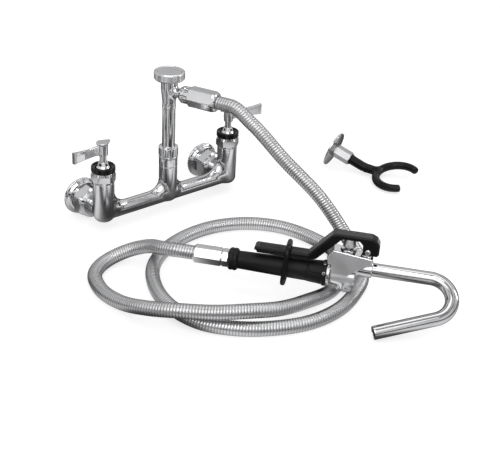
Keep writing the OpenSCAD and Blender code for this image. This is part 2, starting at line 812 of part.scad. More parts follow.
// Outlet and upper end of the hose
module outlet_adapter() {
    color("silver") at_outlet(adapter_from) difference() {
        union() {
            rotate_extrude()
                polygon([[0, 0], [adapter_small_r, 0], [adapter_r, adapter_flare_l],
                    [adapter_r, adapter_l], [0, adapter_l]]);
            cylinder(r = adapter_spigot_r, h = adapter_l + adapter_spigot_l);
        }
        translate([0, 0, -over]) cylinder(r = neck_r + fit_gap, h = neck_tail + over);
        cylinder(r = outlet_bore_r, h = upper_nut_to);
    }
}
module upper_washer() {
    color("dimgray") at_outlet(upper_nut_from + adapter_spigot_l)
        tube(adapter_spigot_r, outlet_bore_r, hose_washer_t);
}
module upper_hose_nut() {
    color("silver") at_outlet(upper_nut_from) difference() {
        hex_bar(upper_nut_af, upper_nut_l, chamfer);
        translate([0, 0, -over])
            cylinder(r = adapter_spigot_r + fit_gap, h = adapter_spigot_l + hose_washer_t + over);
        cylinder(r = hose_bore_r, h = upper_nut_l + over);
    }
}

// Ribbed metal hose: one unbroken tube with its bore
module hose() {
    m = hose_sides;
    outer = [for (i = [0:rings - 1]) each ring(i, i % 2 == 1 ? hose_r : hose_r - rib_depth)];
    bore = [for (i = bore_index) each ring(i, hose_bore_r)];
    b = rings * m;
    last = (rings - 1) * m;
    b_last = b + (bore_rings - 1) * m;
    walls = [for (i = [0:rings - 2], k = [0:m - 1]) let (j = (k + 1) % m)
        each [[i * m + k, (i + 1) * m + k, (i + 1) * m + j], [i * m + k, (i + 1) * m + j, i * m + j]]];
    bores = [for (i = [0:bore_rings - 2], k = [0:m - 1]) let (j = (k + 1) % m, a = b + i * m, c = a + m)
        each [[a + k, c + j, c + k], [a + k, a + j, c + j]]];
    ends = [for (k = [0:m - 1]) let (j = (k + 1) % m)
        each [[k, j, b + j], [k, b + j, b + k],
            [last + k, b_last + j, last + j], [last + k, b_last + k, b_last + j]]];
    color("silver") polyhedron(concat(outer, bore), concat(walls, bores, ends));
}

// Lower end of the hose and the grip
module lower_hose_nut() {
    color("silver") on_grip(lower_nut_rear) difference() {
        hex_bar(lower_nut_af, lower_nut_l, chamfer);
        translate([0, 0, -over]) cylinder(r = hose_bore_r, h = lower_nut_l);
        translate([0, 0, lower_nut_l - lower_spigot_l - hose_washer_t])
            cylinder(r = lower_spigot_r + fit_gap, h = lower_nut_l);
    }
}
module lower_washer() {
    color("dimgray") on_grip(adapter_hex_rear - lower_spigot_l - hose_washer_t)
        tube(lower_spigot_r, water_r, hose_washer_t);
}
module grip_adapter() {
    color("silver") on_grip(adapter_hex_rear) difference() {
        union() {
            hex_bar(adapter_hex_af, adapter_hex_l, chamfer / 2);
            translate([0, 0, -lower_spigot_l]) cylinder(r = lower_spigot_r, h = lower_spigot_l + over);
            cylinder(r = grip_tube_bore_r - run_gap, h = adapter_hex_l + grip_spigot_l);
        }
        translate([0, 0, -lower_spigot_l - over])
            cylinder(r = water_r, h = lower_spigot_l + adapter_hex_l + grip_spigot_l + 2 * over);
    }
}
module grip_end_ring() {
    color("black") on_grip(end_ring_rear) rotate_extrude()
        polygon([[grip_tube_r + fit_gap, 0], [end_ring_r - end_ring_edge, 0], [end_ring_r, end_ring_edge],
            [end_ring_r, end_ring_l - end_ring_edge], [end_ring_r - end_ring_edge, end_ring_l],
            [grip_tube_r + fit_gap, end_ring_l]]);
}
module grip_tube() {
    color("silver") on_grip(end_ring_rear)
        tube(grip_tube_r, grip_tube_bore_r, body_rear - end_ring_rear);
}
module grip() {
    color("black") on_grip(grip_rear) difference() {
        cylinder(r1 = grip_rear_r, r2 = grip_front_r, h = grip_l);
        translate([0, 0, -over]) cylinder(r = grip_tube_r + fit_gap, h = grip_l + 2 * over);
    }
}
module front_collar() {
    color("black") difference() {
        on_grip(collar_rear) rotate_extrude()
            polygon([[grip_tube_r + fit_gap, 0], [collar_small_r, 0],
                [front_collar_r - chamfer, front_collar_l - collar_lip_l],
                [front_collar_r, front_collar_l - collar_lip_l + chamfer],
                [front_collar_r, front_collar_l], [grip_tube_r + fit_gap, front_collar_l]]);
        for (a = screw_angles) at_screw(a) cylinder(r = screw_head_r + fit_gap, h = screw_l + over);
    }
}
module at_screw(a) {
    at_valve() rotate([a, 0, 0]) translate([screw_x, 0, front_collar_r - screw_l - chamfer]) children();
}
module collar_screw(a) {
    color("silver") at_screw(a) difference() {
        cylinder(r = screw_head_r, h = screw_l + fit_gap);
        translate([0, 0, screw_l - screw_head_r / 2])
            cylinder(r = screw_head_r / 2, h = screw_l, $fn = 6);
    }
}
module body_ring() {
    color("silver") on_grip(collar_front) tube(body_ring_r, grip_tube_r + fit_gap, body_rear - collar_front);
}

// Squeeze valve body: flat cheeks, barrel, plunger boss, outlet tail and lever lug
module valve_body() {
    tip_z = 2 * nozzle_axis_z + 4 * chamfer;
    color("lightgray") at_valve() difference() {
        union() {
            translate([0, cheek_w / 2, 0]) rotate([90, 0, 0]) linear_extrude(cheek_w)
                polygon([[body_rear, -over], [body_rear, body_ring_r + free_gap],
                    [collar_front, body_ring_r + free_gap], [collar_front - 2 * over, nozzle_axis_z + barrel_r],
                    [body_rear + over, tip_z + 4 * over], [tail_front - over, tip_z - over],
                    [tail_front - over, nozzle_axis_z + tail_r], [barrel_front, nozzle_axis_z],
                    [0, seat_z]]);
            translate([body_rear, 0, 0]) rotate([0, 90, 0])
                cylinder(r = barrel_r, h = barrel_front - body_rear);
            translate([0, 0, -stem_boss_drop]) cylinder(r = stem_boss_r, h = bonnet_from + stem_boss_drop);
            translate([0, 0, nozzle_axis_z]) rotate([0, 90, 0]) cylinder(r = tail_r, h = tail_front);
            translate([pin_x, cheek_in, pin_z]) rotate([90, 0, 0]) cylinder(r = lug_r, h = 2 * cheek_in);
            translate([pin_x - lug_r, -cheek_in, tip_z - 2 * over])
                cube([2 * lug_r, 2 * cheek_in, pin_z - tip_z + 2 * over]);
        }
        translate([body_rear - over, 0, 0]) rotate([0, 90, 0])
            cylinder(r = hose_bore_r, h = over - body_rear);
        translate([0, 0, -stem_boss_drop - over])
            cylinder(r = chamber_low_r, h = stem_boss_drop + seat_z + over);
        cylinder(r = seat_bore_r, h = nozzle_axis_z);
        translate([0, 0, seat_z + seat_land])
            cylinder(r = upper_chamber_r, h = upper_chamber_top - seat_z - seat_land);
        cylinder(r = plunger_r + run_gap, h = guide_top + over);
        translate([0, 0, guide_top]) cylinder(r = packing_r + fit_gap, h = pin_z);
        translate([0, 0, guide_top + packing_h]) cylinder(r = bonnet_thread_low_r + fit_gap, h = pin_z);
        translate([0, 0, bonnet_from]) cylinder(r = bonnet_low_r + free_gap, h = pin_z);
        translate([0, 0, nozzle_axis_z]) rotate([0, 90, 0])
            cylinder(r = nozzle_r - nozzle_wall, h = tail_front + over);
        translate([tail_front - socket_l, 0, nozzle_axis_z]) rotate([0, 90, 0])
            cylinder(r = nozzle_r + run_gap, h = socket_l + over);
        translate([pin_x, cheek_w, pin_z]) rotate([90, 0, 0]) cylinder(r = pin_r + run_gap, h = 2 * cheek_w);
    }
}
cheek_in = lever_w / 2 - lever_wall - lug_gap;
module valve_bonnet() {
    color("silver") at_valve() difference() {
        union() {
            translate([0, 0, guide_top + packing_h])
                cylinder(r = bonnet_thread_low_r, h = bonnet_top - guide_top - packing_h);
            translate([0, 0, bonnet_from]) cylinder(r = bonnet_low_r, h = bonnet_top - bonnet_from);
        }
        cylinder(r = plunger_r + run_gap, h = bonnet_top + over);
    }
}
module plunger() {
    color("gainsboro") at_valve() {
        translate([0, 0, seat_z - seat_washer_t - run_gap - retainer_h])
            cylinder(r = plunger_r, h = dome_to - seat_z + seat_washer_t + retainer_h);
        translate([0, 0, seat_z - seat_washer_t - run_gap - retainer_h]) cylinder(r = contact_r, h = retainer_h);
        translate([0, 0, dome_from]) rotate_extrude()
            polygon([[0, 0], [dome_r - chamfer / 2, 0], [dome_r, chamfer / 2], [dome_r, dome_to - dome_from],
                [dome_r - chamfer, dome_top - dome_from - chamfer / 2],
                [contact_r, dome_top - dome_from],
                [contact_r, flat_top_z - lever_wall - contact_gap - dome_from],
                [0, flat_top_z - lever_wall - contact_gap - dome_from]]);
    }
}
module seat_washer() {
    color("dimgray") at_valve() translate([0, 0, seat_z - seat_washer_t - run_gap])
        tube(seat_washer_r, plunger_r + run_gap, seat_washer_t);
}

// Return spring under the plunger: one unbroken helix
module valve_spring() {
    low = cap_wall - cap_face + wire_r;
    high = seat_z - seat_washer_t - run_gap - retainer_h - wire_r;
    n = 8 * spring_coils;
    m = 6;
    r = spring_r - wire_r - run_gap;
    pts = [for (i = [0:n], k = [0:m - 1])
        let (a = 360 * i * spring_coils / n, b = 360 * k / m, z = low + (high - low) * i / n)
        [(r + wire_r * cos(b)) * cos(a), (r + wire_r * cos(b)) * sin(a), z + wire_r * sin(b)]];
    walls = [for (i = [0:n - 1], k = [0:m - 1]) let (j = (k + 1) % m)
        each [[i * m + k, (i + 1) * m + k, (i + 1) * m + j], [i * m + k, (i + 1) * m + j, i * m + j]]];
    ends = [for (k = [1:m - 2]) each [[0, k, k + 1], [n * m, n * m + k + 1, n * m + k]]];
    color("gray") at_valve() polyhedron(pts, concat(walls, ends));
}
module bottom_cap() {
    color("silver") at_valve() difference() {
        union() {
            translate([0, 0, -cap_face]) hex_bar(cap_hex_af, cap_face - stem_boss_drop, chamfer / 2);
            translate([0, 0, -stem_boss_drop - over]) cylinder(r = chamber_low_r - run_gap, h = cap_spigot_h + over);
        }
        translate([0, 0, cap_wall - cap_face]) cylinder(r = spring_r + skin / 2, h = cap_face);
    }
}

// Squeeze lever: an inverted channel with open sides over the plunger
module squeeze_lever() {
    w = lever_wall;
    lever_low = [[cheek_x, cheek_low_z], [cheek_x - over, flat_low_z], [-dome_r - over, flat_low_z],
        [rise_x + over, rear_low_z]];
    outline = concat([[-lever_rear, rear_notch_z], [-lever_rear, rear_top_z - w], [w - lever_rear, rear_top_z],
        [rise_x, rear_top_z], [rise_top_x - w, flat_top_z - w / 2], [rise_top_x + w / 2, flat_top_z],
        [front_slope_x - 2 * w, flat_top_z],
        [front_slope_x, front_slope_z], [front_x, front_slope_z - 2 * w], [front_x, cheek_low_z + w],
        [front_low_x - w / 2, cheek_low_z]], lever_low,
        [[w + over - lever_rear, rear_low_z], [w - lever_rear, rear_notch_z]]);
    hollow = [[w - lever_rear, rear_low_z - over], [w - lever_rear, rear_top_z - w],
        [rise_x + w / 2, rear_top_z - w], [rise_top_x, flat_top_z - w],
        [front_slope_x - 3 * w, flat_top_z - w], [front_x - 2 * w, front_slope_z - w],
        [front_x - w, front_slope_z - 3 * w], [front_x - w, cheek_low_z - over],
        [cheek_x - 2 * over, cheek_low_z - over], [cheek_x - 2 * over, rear_low_z - over]];
    color("black") at_valve() difference() {
        union() {
            translate([0, lever_w / 2, 0]) rotate([90, 0, 0]) linear_extrude(lever_w) polygon(outline);
            for (i = [0:ridges - 1]) translate([2 * w - lever_rear + i * ridge_pitch, -lever_w / 4, rear_top_z - over])
                cube([ridge_w, lever_w / 2, over + ridge_h]);
        }
        translate([0, lever_w / 2 - w, 0]) rotate([90, 0, 0]) linear_extrude(lever_w - 2 * w) polygon(hollow);
        translate([pin_x, lever_w, pin_z]) rotate([90, 0, 0]) cylinder(r = pin_r + run_gap, h = 2 * lever_w);
        edge_cut([-lever_rear, rear_top_z], [rise_x, rear_top_z]);
        edge_cut([rise_x, rear_top_z], [rise_top_x - w, flat_top_z - w / 2]);
        edge_cut([rise_top_x - w, flat_top_z], [front_slope_x - 2 * w, flat_top_z]);
    }
}
module edge_cut(p, q) {
    d = q - p;
    for (s = [-1, 1]) translate([p[0], s * lever_w / 2, p[1]]) rotate([0, -atan2(d[1], d[0]), 0])
        rotate([45, 0, 0]) translate([-over, -lever_edge / 2, -lever_edge / 2])
            cube([norm(d) + 2 * over, lever_edge, lever_edge]);
}
module lever_pin() {
    half = lever_w / 2 + lug_gap;
    color("silver") at_valve() translate([pin_x, 0, pin_z]) rotate([90, 0, 0]) {
        translate([0, 0, -half]) cylinder(r = pin_r, h = 2 * half);
        translate([0, 0, half]) cylinder(r = pin_head_r, h = pin_head_t);
        translate([0, 0, -half - pin_head_t]) cylinder(r = pin_head_r, h = pin_head_t);
    }
}

// Hold-open ring: a round bar bent to a rounded rectangle
module hold_ring() {
    c = ring_corner_r;
    hx = ring_w / 2 - ring_bar_r;
    hz = ring_h / 2 - ring_bar_r;
    color("black") at_valve() translate([ring_x, 0, ring_z]) rotate([0, ring_lean, 0]) rotate([0, 90, 0]) {
        for (q = [0:3]) rotate([0, 0, 90 * q])
            translate([(q % 2 == 0 ? hz : hx) - c, (q % 2 == 0 ? hx : hz) - c, 0])
                rotate_extrude(angle = 90) translate([c, 0]) circle(r = ring_bar_r);
        for (s = [-1, 1]) {
            translate([c - hz, s * hx, 0]) rotate([0, 90, 0]) cylinder(r = ring_bar_r, h = 2 * (hz - c));
            translate([s * hz, c - hx, 0]) rotate([-90, 0, 0]) cylinder(r = ring_bar_r, h = 2 * (hx - c));
        }
    }
}

// Hook nozzle: two straight runs whose ends enter a bend that is a hair wider
module nozzle_sweep(r, start, stop) {
    translate([nozzle_run, 0, -nozzle_bend]) rotate([90, 0, 0]) {
        translate([over, nozzle_bend, 0]) rotate([0, -90, 0]) cylinder(r = r, h = nozzle_run + start + over);
        rotate([0, 0, 90 - nozzle_bend_angle]) {
            rotate_extrude(angle = nozzle_bend_angle) translate([nozzle_bend, 0]) circle(r = r + run_gap);
            translate([nozzle_bend, over, 0]) rotate([90, 0, 0])
                cylinder(r = r, h = nozzle_end_run + stop + over);
        }
    }
}
module hook_nozzle() {
    color("silver") at_valve() translate([tail_front, 0, nozzle_axis_z]) rotate([-nozzle_plane_turn, 0, 0])
        difference() {
            nozzle_sweep(nozzle_r, socket_l - run_gap, 0);
            nozzle_sweep(nozzle_r - nozzle_wall, socket_l + over, over);
        }
}

// Wall hook: flange, hexagon stem and coated fork
module wall_hook_flange() {
    color("silver") at_hook() difference() {
        rotate_extrude()
            polygon([[0, 0], [hook_flange_r, 0], [hook_flange_r, hook_rim_t],
                [hook_edge_r, hook_flange_t], [0, hook_flange_t]]);
        translate([0, 0, -over]) cylinder(r = hook_spigot_r + fit_gap, h = hook_flange_t + 2 * over);
    }
}
module wall_hook_stem() {
    color("silver") at_hook() difference() {
        union() {
            translate([0, 0, hook_flange_t]) hex_bar(hook_stem_af, hook_stem_l, chamfer / 2);
            cylinder(r = hook_spigot_r, h = hook_flange_t + over);
        }
        translate([0, 0, -over]) cylinder(r = hook_thread_r, h = hook_thread_l + over);
    }
}
module wall_hook_fork() {
    axis = turn_z(turn_y([1, 0, 0], hook_dip), hook_turn);
    root = hook_place + (hook_flange_t + hook_stem_l) * axis;
    color("black") {
        rod_between(root, root + arm_bead * axis, hook_arm_r + skin);
        rod_between(root + arm_bead / 2 * axis, fork_place, hook_arm_r);
        at_fork() translate([fork_curve_r, 0, 0]) {
            rotate([0, 0, 180 - tine_sweep]) rotate_extrude(angle = 2 * tine_sweep)
                translate([fork_curve_r, 0]) circle(r = tine_r);
            for (s = [-1, 1]) rotate([0, 0, 180 + s * tine_sweep]) translate([fork_curve_r, 0, 0])
                rotate([-s * 90, 0, 0]) translate([0, 0, -run_gap]) rotate_extrude() polygon(concat([[0, 0]],
                    arc([tine_r - tip_round - skin / 2, run_gap], tip_round, 0, 90, 4),
                    [[0, tip_round + run_gap]]));
        }
    }
}

mixing_body();
inlet_flange(-1);  // inlet_flange_left
inlet_flange(1);  // inlet_flange_right
coupling_nut(-1);  // coupling_nut_left
coupling_nut(1);  // coupling_nut_right
inlet_washer(-1);  // inlet_washer_left
inlet_washer(1);  // inlet_washer_right
inlet_shank(-1);  // inlet_shank_left
inlet_shank(1);  // inlet_shank_right
bonnet_nut(-1);  // bonnet_nut_left
bonnet_nut(1);  // bonnet_nut_right
index_ring(-1);  // index_ring_left
index_ring(1);  // index_ring_right
cartridge(-1);  // cartridge_left
cartridge(1);  // cartridge_right
fixed_disc(-1);  // fixed_disc_left
fixed_disc(1);  // fixed_disc_right
moving_disc(-1);  // moving_disc_left
moving_disc(1);  // moving_disc_right
stem(-1);  // stem_left
stem(1);  // stem_right
handle(-1);  // handle_left
handle(1);  // handle_right
handle_screw(-1);  // handle_screw_left
handle_screw(1);  // handle_screw_right
riser_collar();
riser_tube();
breaker_body();
breaker_cap();
breaker_plate();
breaker_float();
breaker_seal();
outlet_adapter();
upper_washer();
upper_hose_nut();
hose();
lower_hose_nut();
lower_washer();
grip_adapter();
grip_end_ring();
grip_tube();
grip();
front_collar();
collar_screw(screw_angles[0]);  // collar_screw_upper
collar_screw(screw_angles[1]);  // collar_screw_lower
body_ring();
valve_body();
valve_bonnet();
plunger();
seat_washer();
valve_spring();
bottom_cap();
squeeze_lever();
lever_pin();
hold_ring();
hook_nozzle();
wall_hook_flange();
wall_hook_stem();
wall_hook_fork();
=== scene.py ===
# %% [markdown]
# Pot filler with a squeeze valve, dressed over its CAD frame.
#
# The real thing is chrome-plated brass castings, hexagon nuts, a ribbed metal hose, a black
# grip with a sprung lever, and a separate wall hook dipped in black vinyl. The CAD frame holds
# the pieces, their places and their joints. Here each piece that shows gets its finished
# surface: rounded edges, cast fillets, real ribs and a finish of its own.
#
# All shape functions below work in millimetres in a piece's own local frame, because that is
# how its maker measures it. One function carries the finished points into the shared frame in
# metres, so each object stays at the origin with its place in its mesh.

# %% The frame
import json
import math

import bpy
import numpy as np
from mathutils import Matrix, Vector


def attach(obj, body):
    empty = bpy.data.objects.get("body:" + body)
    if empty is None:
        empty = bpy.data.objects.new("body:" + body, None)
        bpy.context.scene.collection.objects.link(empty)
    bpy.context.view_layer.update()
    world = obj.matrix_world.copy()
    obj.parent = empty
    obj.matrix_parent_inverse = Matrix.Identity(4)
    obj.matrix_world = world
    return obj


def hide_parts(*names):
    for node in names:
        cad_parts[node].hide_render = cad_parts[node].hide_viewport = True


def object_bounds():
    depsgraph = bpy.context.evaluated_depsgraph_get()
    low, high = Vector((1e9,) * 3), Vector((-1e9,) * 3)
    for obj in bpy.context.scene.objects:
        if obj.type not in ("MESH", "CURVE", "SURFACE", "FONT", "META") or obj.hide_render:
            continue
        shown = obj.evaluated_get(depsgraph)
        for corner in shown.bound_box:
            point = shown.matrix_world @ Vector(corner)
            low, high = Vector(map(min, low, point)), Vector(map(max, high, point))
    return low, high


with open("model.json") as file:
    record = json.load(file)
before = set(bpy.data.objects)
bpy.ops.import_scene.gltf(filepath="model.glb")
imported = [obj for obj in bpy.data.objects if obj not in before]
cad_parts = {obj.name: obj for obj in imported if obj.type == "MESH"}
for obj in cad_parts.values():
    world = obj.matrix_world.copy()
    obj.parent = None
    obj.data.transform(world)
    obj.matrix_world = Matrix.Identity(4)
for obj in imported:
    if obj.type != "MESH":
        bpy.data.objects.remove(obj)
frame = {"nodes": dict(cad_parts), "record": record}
cad_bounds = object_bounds()
bodies = frame["record"]["behaviour"]["bodies"]
body_of_node = {node: body for body, nodes in bodies.items() for node in nodes}

# %% [markdown]
# A local frame is a turn about X, then Y, then Z, and a shift, the same order as the CAD uses.
# The main ones are the two valve towers, the riser, the outlet, the squeeze valve, the wall
# hook and its fork. A lathe piece turns about the local Z axis, so some frames are laid over
# by 90 degrees.

# %% Local frames
MM = 0.001
VALVE_SPAN, VALVE_REACH, OUTLET_Z, OUTLET_TURN, HANDLE_TURN = 203.2, 58.0, 146.0, -67.0, 13.0
VALVE_PLACE, VALVE_TURN = (34.0, -364.0, 10.0), (-6.0, 1.0, -50.0)
HOOK_PLACE, HOOK_TURN, HOOK_DIP = (291.5, -83.0, 1.15), -70.0, 17.0
FORK_PLACE, FORK_TURN, FORK_RISE, FORK_ROLL = (316.5, -156.5, -15.3), -75.5, 3.5, 10.5
TAIL_FRONT, NOZZLE_Z, NOZZLE_PLANE_TURN = 30, 13, 54.6
PIN_X, PIN_Z = 22, 37.5


def local(shift=(0, 0, 0), x=0, y=0, z=0):
    """4 x 4 matrix: shift * Rz * Ry * Rx, in millimetres and degrees."""
    (cx, cy, cz), (sx, sy, sz) = [f(np.radians((x, y, z))) for f in (np.cos, np.sin)]
    turn_x = np.array([[1, 0, 0], [0, cx, -sx], [0, sx, cx]])
    turn_y = np.array([[cy, 0, sy], [0, 1, 0], [-sy, 0, cy]])
    turn_z = np.array([[cz, -sz, 0], [sz, cz, 0], [0, 0, 1]])
    matrix = np.eye(4)
    matrix[:3, :3] = turn_z @ turn_y @ turn_x
    matrix[:3, 3] = shift
    return matrix


def carried(points, matrix):
    """Points p of a local frame as M p in the frame around it."""
    return points @ matrix[:3, :3].T + matrix[:3, 3]


SIDES = {"left": -1, "right": 1}
RISER = local((0, -VALVE_REACH, 0))
OUTLET_FLAT = local((0, -VALVE_REACH, OUTLET_Z), z=OUTLET_TURN)
OUTLET = OUTLET_FLAT @ local(y=90)
VALVE = local(VALVE_PLACE, *VALVE_TURN)
GRIP = VALVE @ local(y=90)
HOOK = local(HOOK_PLACE, z=HOOK_TURN) @ local(y=90 + HOOK_DIP)
FORK = local(FORK_PLACE, z=FORK_TURN) @ local(y=-FORK_RISE) @ local(x=FORK_ROLL)
NOZZLE = VALVE @ local((TAIL_FRONT, 0, NOZZLE_Z), x=-NOZZLE_PLANE_TURN)
TOWER = {n: local((s * VALVE_SPAN / 2, -VALVE_REACH, 0), z=90 - 90 * s) for n, s in SIDES.items()}
INLET = {n: local((s * VALVE_SPAN / 2, 0, 0), x=90) for n, s in SIDES.items()}


def measured(node, matrix):
    """Lowest and highest local coordinates of a CAD node, in millimetres."""
    mesh = frame["nodes"][node].data
    flat = np.empty(len(mesh.vertices) * 3, np.float32)
    mesh.vertices.foreach_get("co", flat)
    points = carried(flat.reshape(-1, 3).astype(float) / MM, np.linalg.inv(matrix))
    return points.min(0), points.max(0)


grip_low, grip_high = measured("grip", VALVE)
print("grip runs from", grip_low.round(1), "to", grip_high.round(1), "in the valve frame")

# %% [markdown]
# The camera stands where the photographer stood. Its place and its lens were found by fitting
# the inlets, the riser and the table to the picture, so only a few numbers are left: where it
# is, how it turns, and a focal length for a picture 500 wide by 449 high.

# %% Camera
CAMERA_PLACE = (-0.6885, -0.9983, 0.5968)
CAMERA_AZIMUTH, CAMERA_HEIGHT, CAMERA_ROLL = -41.86, 28.88, 3.59
PICTURE_WIDTH, FOCAL_PIXELS, SENSOR_MM = 500, 956.77, 36.0


def add_object(name, data):
    """An object for some data, linked into the scene."""
    item = bpy.data.objects.new(name, data)
    bpy.context.scene.collection.objects.link(item)
    return item


def from_axes(right, up, back, place):
    """Blender matrix whose columns are the three axes and the place."""
    matrix = np.eye(4)
    matrix[:3] = np.stack([right, up, back, place], 1)
    return matrix.T.tolist()


def make_camera():
    """Axes: back = away from the scene, right = level, then both rolled about back."""
    a, e, roll = np.radians((CAMERA_AZIMUTH, CAMERA_HEIGHT, CAMERA_ROLL))
    back = np.array([math.sin(a) * math.cos(e), -math.cos(a) * math.cos(e), math.sin(e)])
    level = np.array([math.cos(a), math.sin(a), 0])
    up = np.cross(back, level)
    right = math.cos(roll) * level + math.sin(roll) * up
    rolled_up = -math.sin(roll) * level + math.cos(roll) * up
    data = bpy.data.cameras.new("camera")
    data.sensor_width = SENSOR_MM
    data.lens = FOCAL_PIXELS * SENSOR_MM / PICTURE_WIDTH
    data.clip_start, data.clip_end = 0.01, 50
    camera = add_object("camera", data)
    camera.matrix_world = from_axes(right, rolled_up, back, CAMERA_PLACE)
    bpy.context.scene.camera = camera
    return camera


camera = make_camera()
print("camera lens", round(camera.data.lens, 1), "mm")

# %% [markdown]
# Three small tools make almost every surface here. The first puts points and faces into a mesh
# and gives it smooth shading. Its vertex normals are weighted by face area, so a wide flat
# keeps its even shine and only the narrow rounded edge beside it catches a line of light. Two
# more tools give it faces: rows of points joined into a skin, and a surface of revolution.

# %% Meshes from numpy
def area_normals(points, faces):
    """Vertex normal = unit(sum over faces of the cross product of the face's diagonals)."""
    corners = points[faces]
    cross = np.cross(corners[:, 2] - corners[:, 0], corners[:, -1] - corners[:, 1])
    if faces.shape[1] == 3:
        cross = np.cross(corners[:, 1] - corners[:, 0], corners[:, 2] - corners[:, 0])
    total = np.zeros_like(points)
    for k in range(faces.shape[1]):
        for axis in range(3):
            total[:, axis] += np.bincount(faces[:, k], cross[:, axis], len(points))
    return total


def volume_of(points, faces):
    """Signed volume = sum of a . (b x c) / 6 over the triangles of each face."""
    a, b, c = points[faces[:, 0]], points[faces[:, 1]], points[faces[:, 2]]
    total = np.einsum("ij,ij->i", a, np.cross(b, c)).sum()
    if faces.shape[1] == 4:
        d = points[faces[:, 3]]
        total += np.einsum("ij,ij->i", a, np.cross(c, d)).sum()
    return total / 6


def make_piece(name, shape, matrix, material, node, values=None):
    """Points in mm and a local frame -> one object in metres that stands for its CAD node."""
    points, face_sets, normals = shape
    if sum(volume_of(points, faces) for faces in face_sets) < 0:
        face_sets = [faces[:, ::-1] for faces in face_sets]
    if normals is None:
        normals = sum(area_normals(points, faces) for faces in face_sets)
    normals = normals / np.maximum(np.linalg.norm(normals, axis=1), 1e-12)[:, None]
    mesh = bpy.data.meshes.new(name)
    faces = [face for part in face_sets for face in part.tolist()]
    mesh.from_pydata((carried(points, matrix) * MM).tolist(), [], faces)
    mesh.polygons.foreach_set("use_smooth", np.ones(len(mesh.polygons), bool))
    mesh.normals_split_custom_set_from_vertices((normals @ matrix[:3, :3].T).tolist())
    for key, numbers in (values or {}).items():
        mesh.attributes.new(key, "FLOAT", "POINT").data.foreach_set("value", numbers.astype(np.float32))
    mesh.materials.append(material)
    piece = add_object(name, mesh)
    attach(piece, body_of_node[node])
    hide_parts(node)
    triangles = sum(len(f) * (f.shape[1] - 2) for f in face_sets)
    print(f"{name}: {triangles} triangles, for {node}")
    return piece


def skin(rows, ring=False, tips=(None, None)):
    """Rows of n points, shape (m, n, 3), joined into quads; row ends close round.

    ring joins the last row to the first. Otherwise each end closes to one point: its tip, or
    the middle of its row.
    """
    m, n = rows.shape[:2]
    points = rows.reshape(-1, 3)
    i, j = np.meshgrid(np.arange(m if ring else m - 1), np.arange(n), indexing="ij")
    i, j, i2, j2 = i.ravel(), j.ravel(), (i.ravel() + 1) % m, (j.ravel() + 1) % n
    quads = np.stack([i * n + j, i * n + j2, i2 * n + j2, i2 * n + j], 1)
    if ring:
        return points, [quads], None
    k = np.arange(n)
    fans = []
    for start, tip, order in ((0, tips[0], -1), ((m - 1) * n, tips[1], 1)):
        centre = rows[start // n].mean(0) if tip is None else np.array(tip, float)
        fans.append(np.stack([start + k, start + (k + 1) % n, np.full(n, len(points))], 1)[:, ::order])
        points = np.vstack([points, centre])
    return points, [quads, np.vstack(fans)], None


def rounded(corners, steps=5):
    """A closed or open outline of (r, z, fillet) corners, each corner turned into an arc.

    The arc of radius f touches both sides at f / tan(half the corner's angle) from the corner.
    """
    corners = [tuple(c) + (0,) * (3 - len(c)) for c in corners]
    out = []
    for k, (r, z, fillet) in enumerate(corners):
        here = np.array([r, z], float)
        before = np.array(corners[k - 1][:2], float)
        after = np.array(corners[(k + 1) % len(corners)][:2], float)
        u, v = before - here, after - here
        lu, lv = np.linalg.norm(u), np.linalg.norm(v)
        if fillet <= 0 or lu < 1e-9 or lv < 1e-9:
            out.append(here[None])
            continue
        u, v = u / lu, v / lv
        half = math.acos(np.clip(u @ v, -1, 1)) / 2
        reach = min(fillet / math.tan(half), 0.49 * lu, 0.49 * lv)
        fillet = reach * math.tan(half)
        middle = here + (u + v) / np.linalg.norm(u + v) * fillet / math.sin(half)
        a, b = here + reach * u - middle, here + reach * v - middle
        total = math.atan2(a[0] * b[1] - a[1] * b[0], a @ b)
        t = np.linspace(0, total, steps + 1)
        c, s = np.cos(t), np.sin(t)
        out.append(middle + np.stack([a[0] * c - a[1] * s, a[0] * s + a[1] * c], 1))
    return np.vstack(out)


def turned_rows(outline, angles, radius=None):
    """Point (i, k) = (R cos t_k, R sin t_k, z_i), with R = radius(r_i, z_i, t_k), or just r_i."""
    r, z = outline[:, :1], outline[:, 1:]
    t = angles[None, :]
    big = r + 0 * t if radius is None else radius(r, z, t)
    return np.stack([big * np.cos(t), big * np.sin(t), z + 0 * t], -1)


def lathe(corners, steps=5, turns=96, radius=None, angles=None):
    """Surface of revolution of a rounded outline; one that starts on the axis closes to tips."""
    t = np.arange(turns) * 2 * np.pi / turns if angles is None else angles
    solid = corners[0][0] == 0
    outline = rounded(corners, steps)
    if not solid:
        return skin(turned_rows(outline, t, radius), ring=True)
    tips = [(0, 0, outline[0, 1]), (0, 0, outline[-1, 1])]
    return skin(turned_rows(outline[1:-1], t, radius), tips=tips)


print("mesh tools ready")

# %% [markdown]
# A hexagon nut is a hexagonal bar whose ends were turned on a lathe. So its radius is the
# smaller of two numbers: the turned profile, and the distance to the flats. A soft minimum
# rounds the edge where the two meet, which gives the curved chamfer lines that a real nut has.

# %% Hexagon nuts
def hex_radius(t, flats):
    """Distance to a rounded hexagon: (flats / 2) / (sum of max(cos(t - k 60), 0)^p)^(1 / p)."""
    sharpness = 90
    planes = np.maximum(np.cos(t[..., None] - np.radians(60) * np.arange(6)), 0) ** sharpness
    return flats / 2 / planes.sum(-1) ** (1 / sharpness)


def hex_angles(per_side=20):
    """Angles crowded at the six corners: each side takes 30 degrees * sin(u), u from -90 to 90."""
    u = np.linspace(-1, 1, per_side, endpoint=False)
    side = np.radians(30) * np.sin(np.pi / 2 * u)
    return (np.radians(60) * np.arange(6)[:, None] + side[None, :]).ravel()


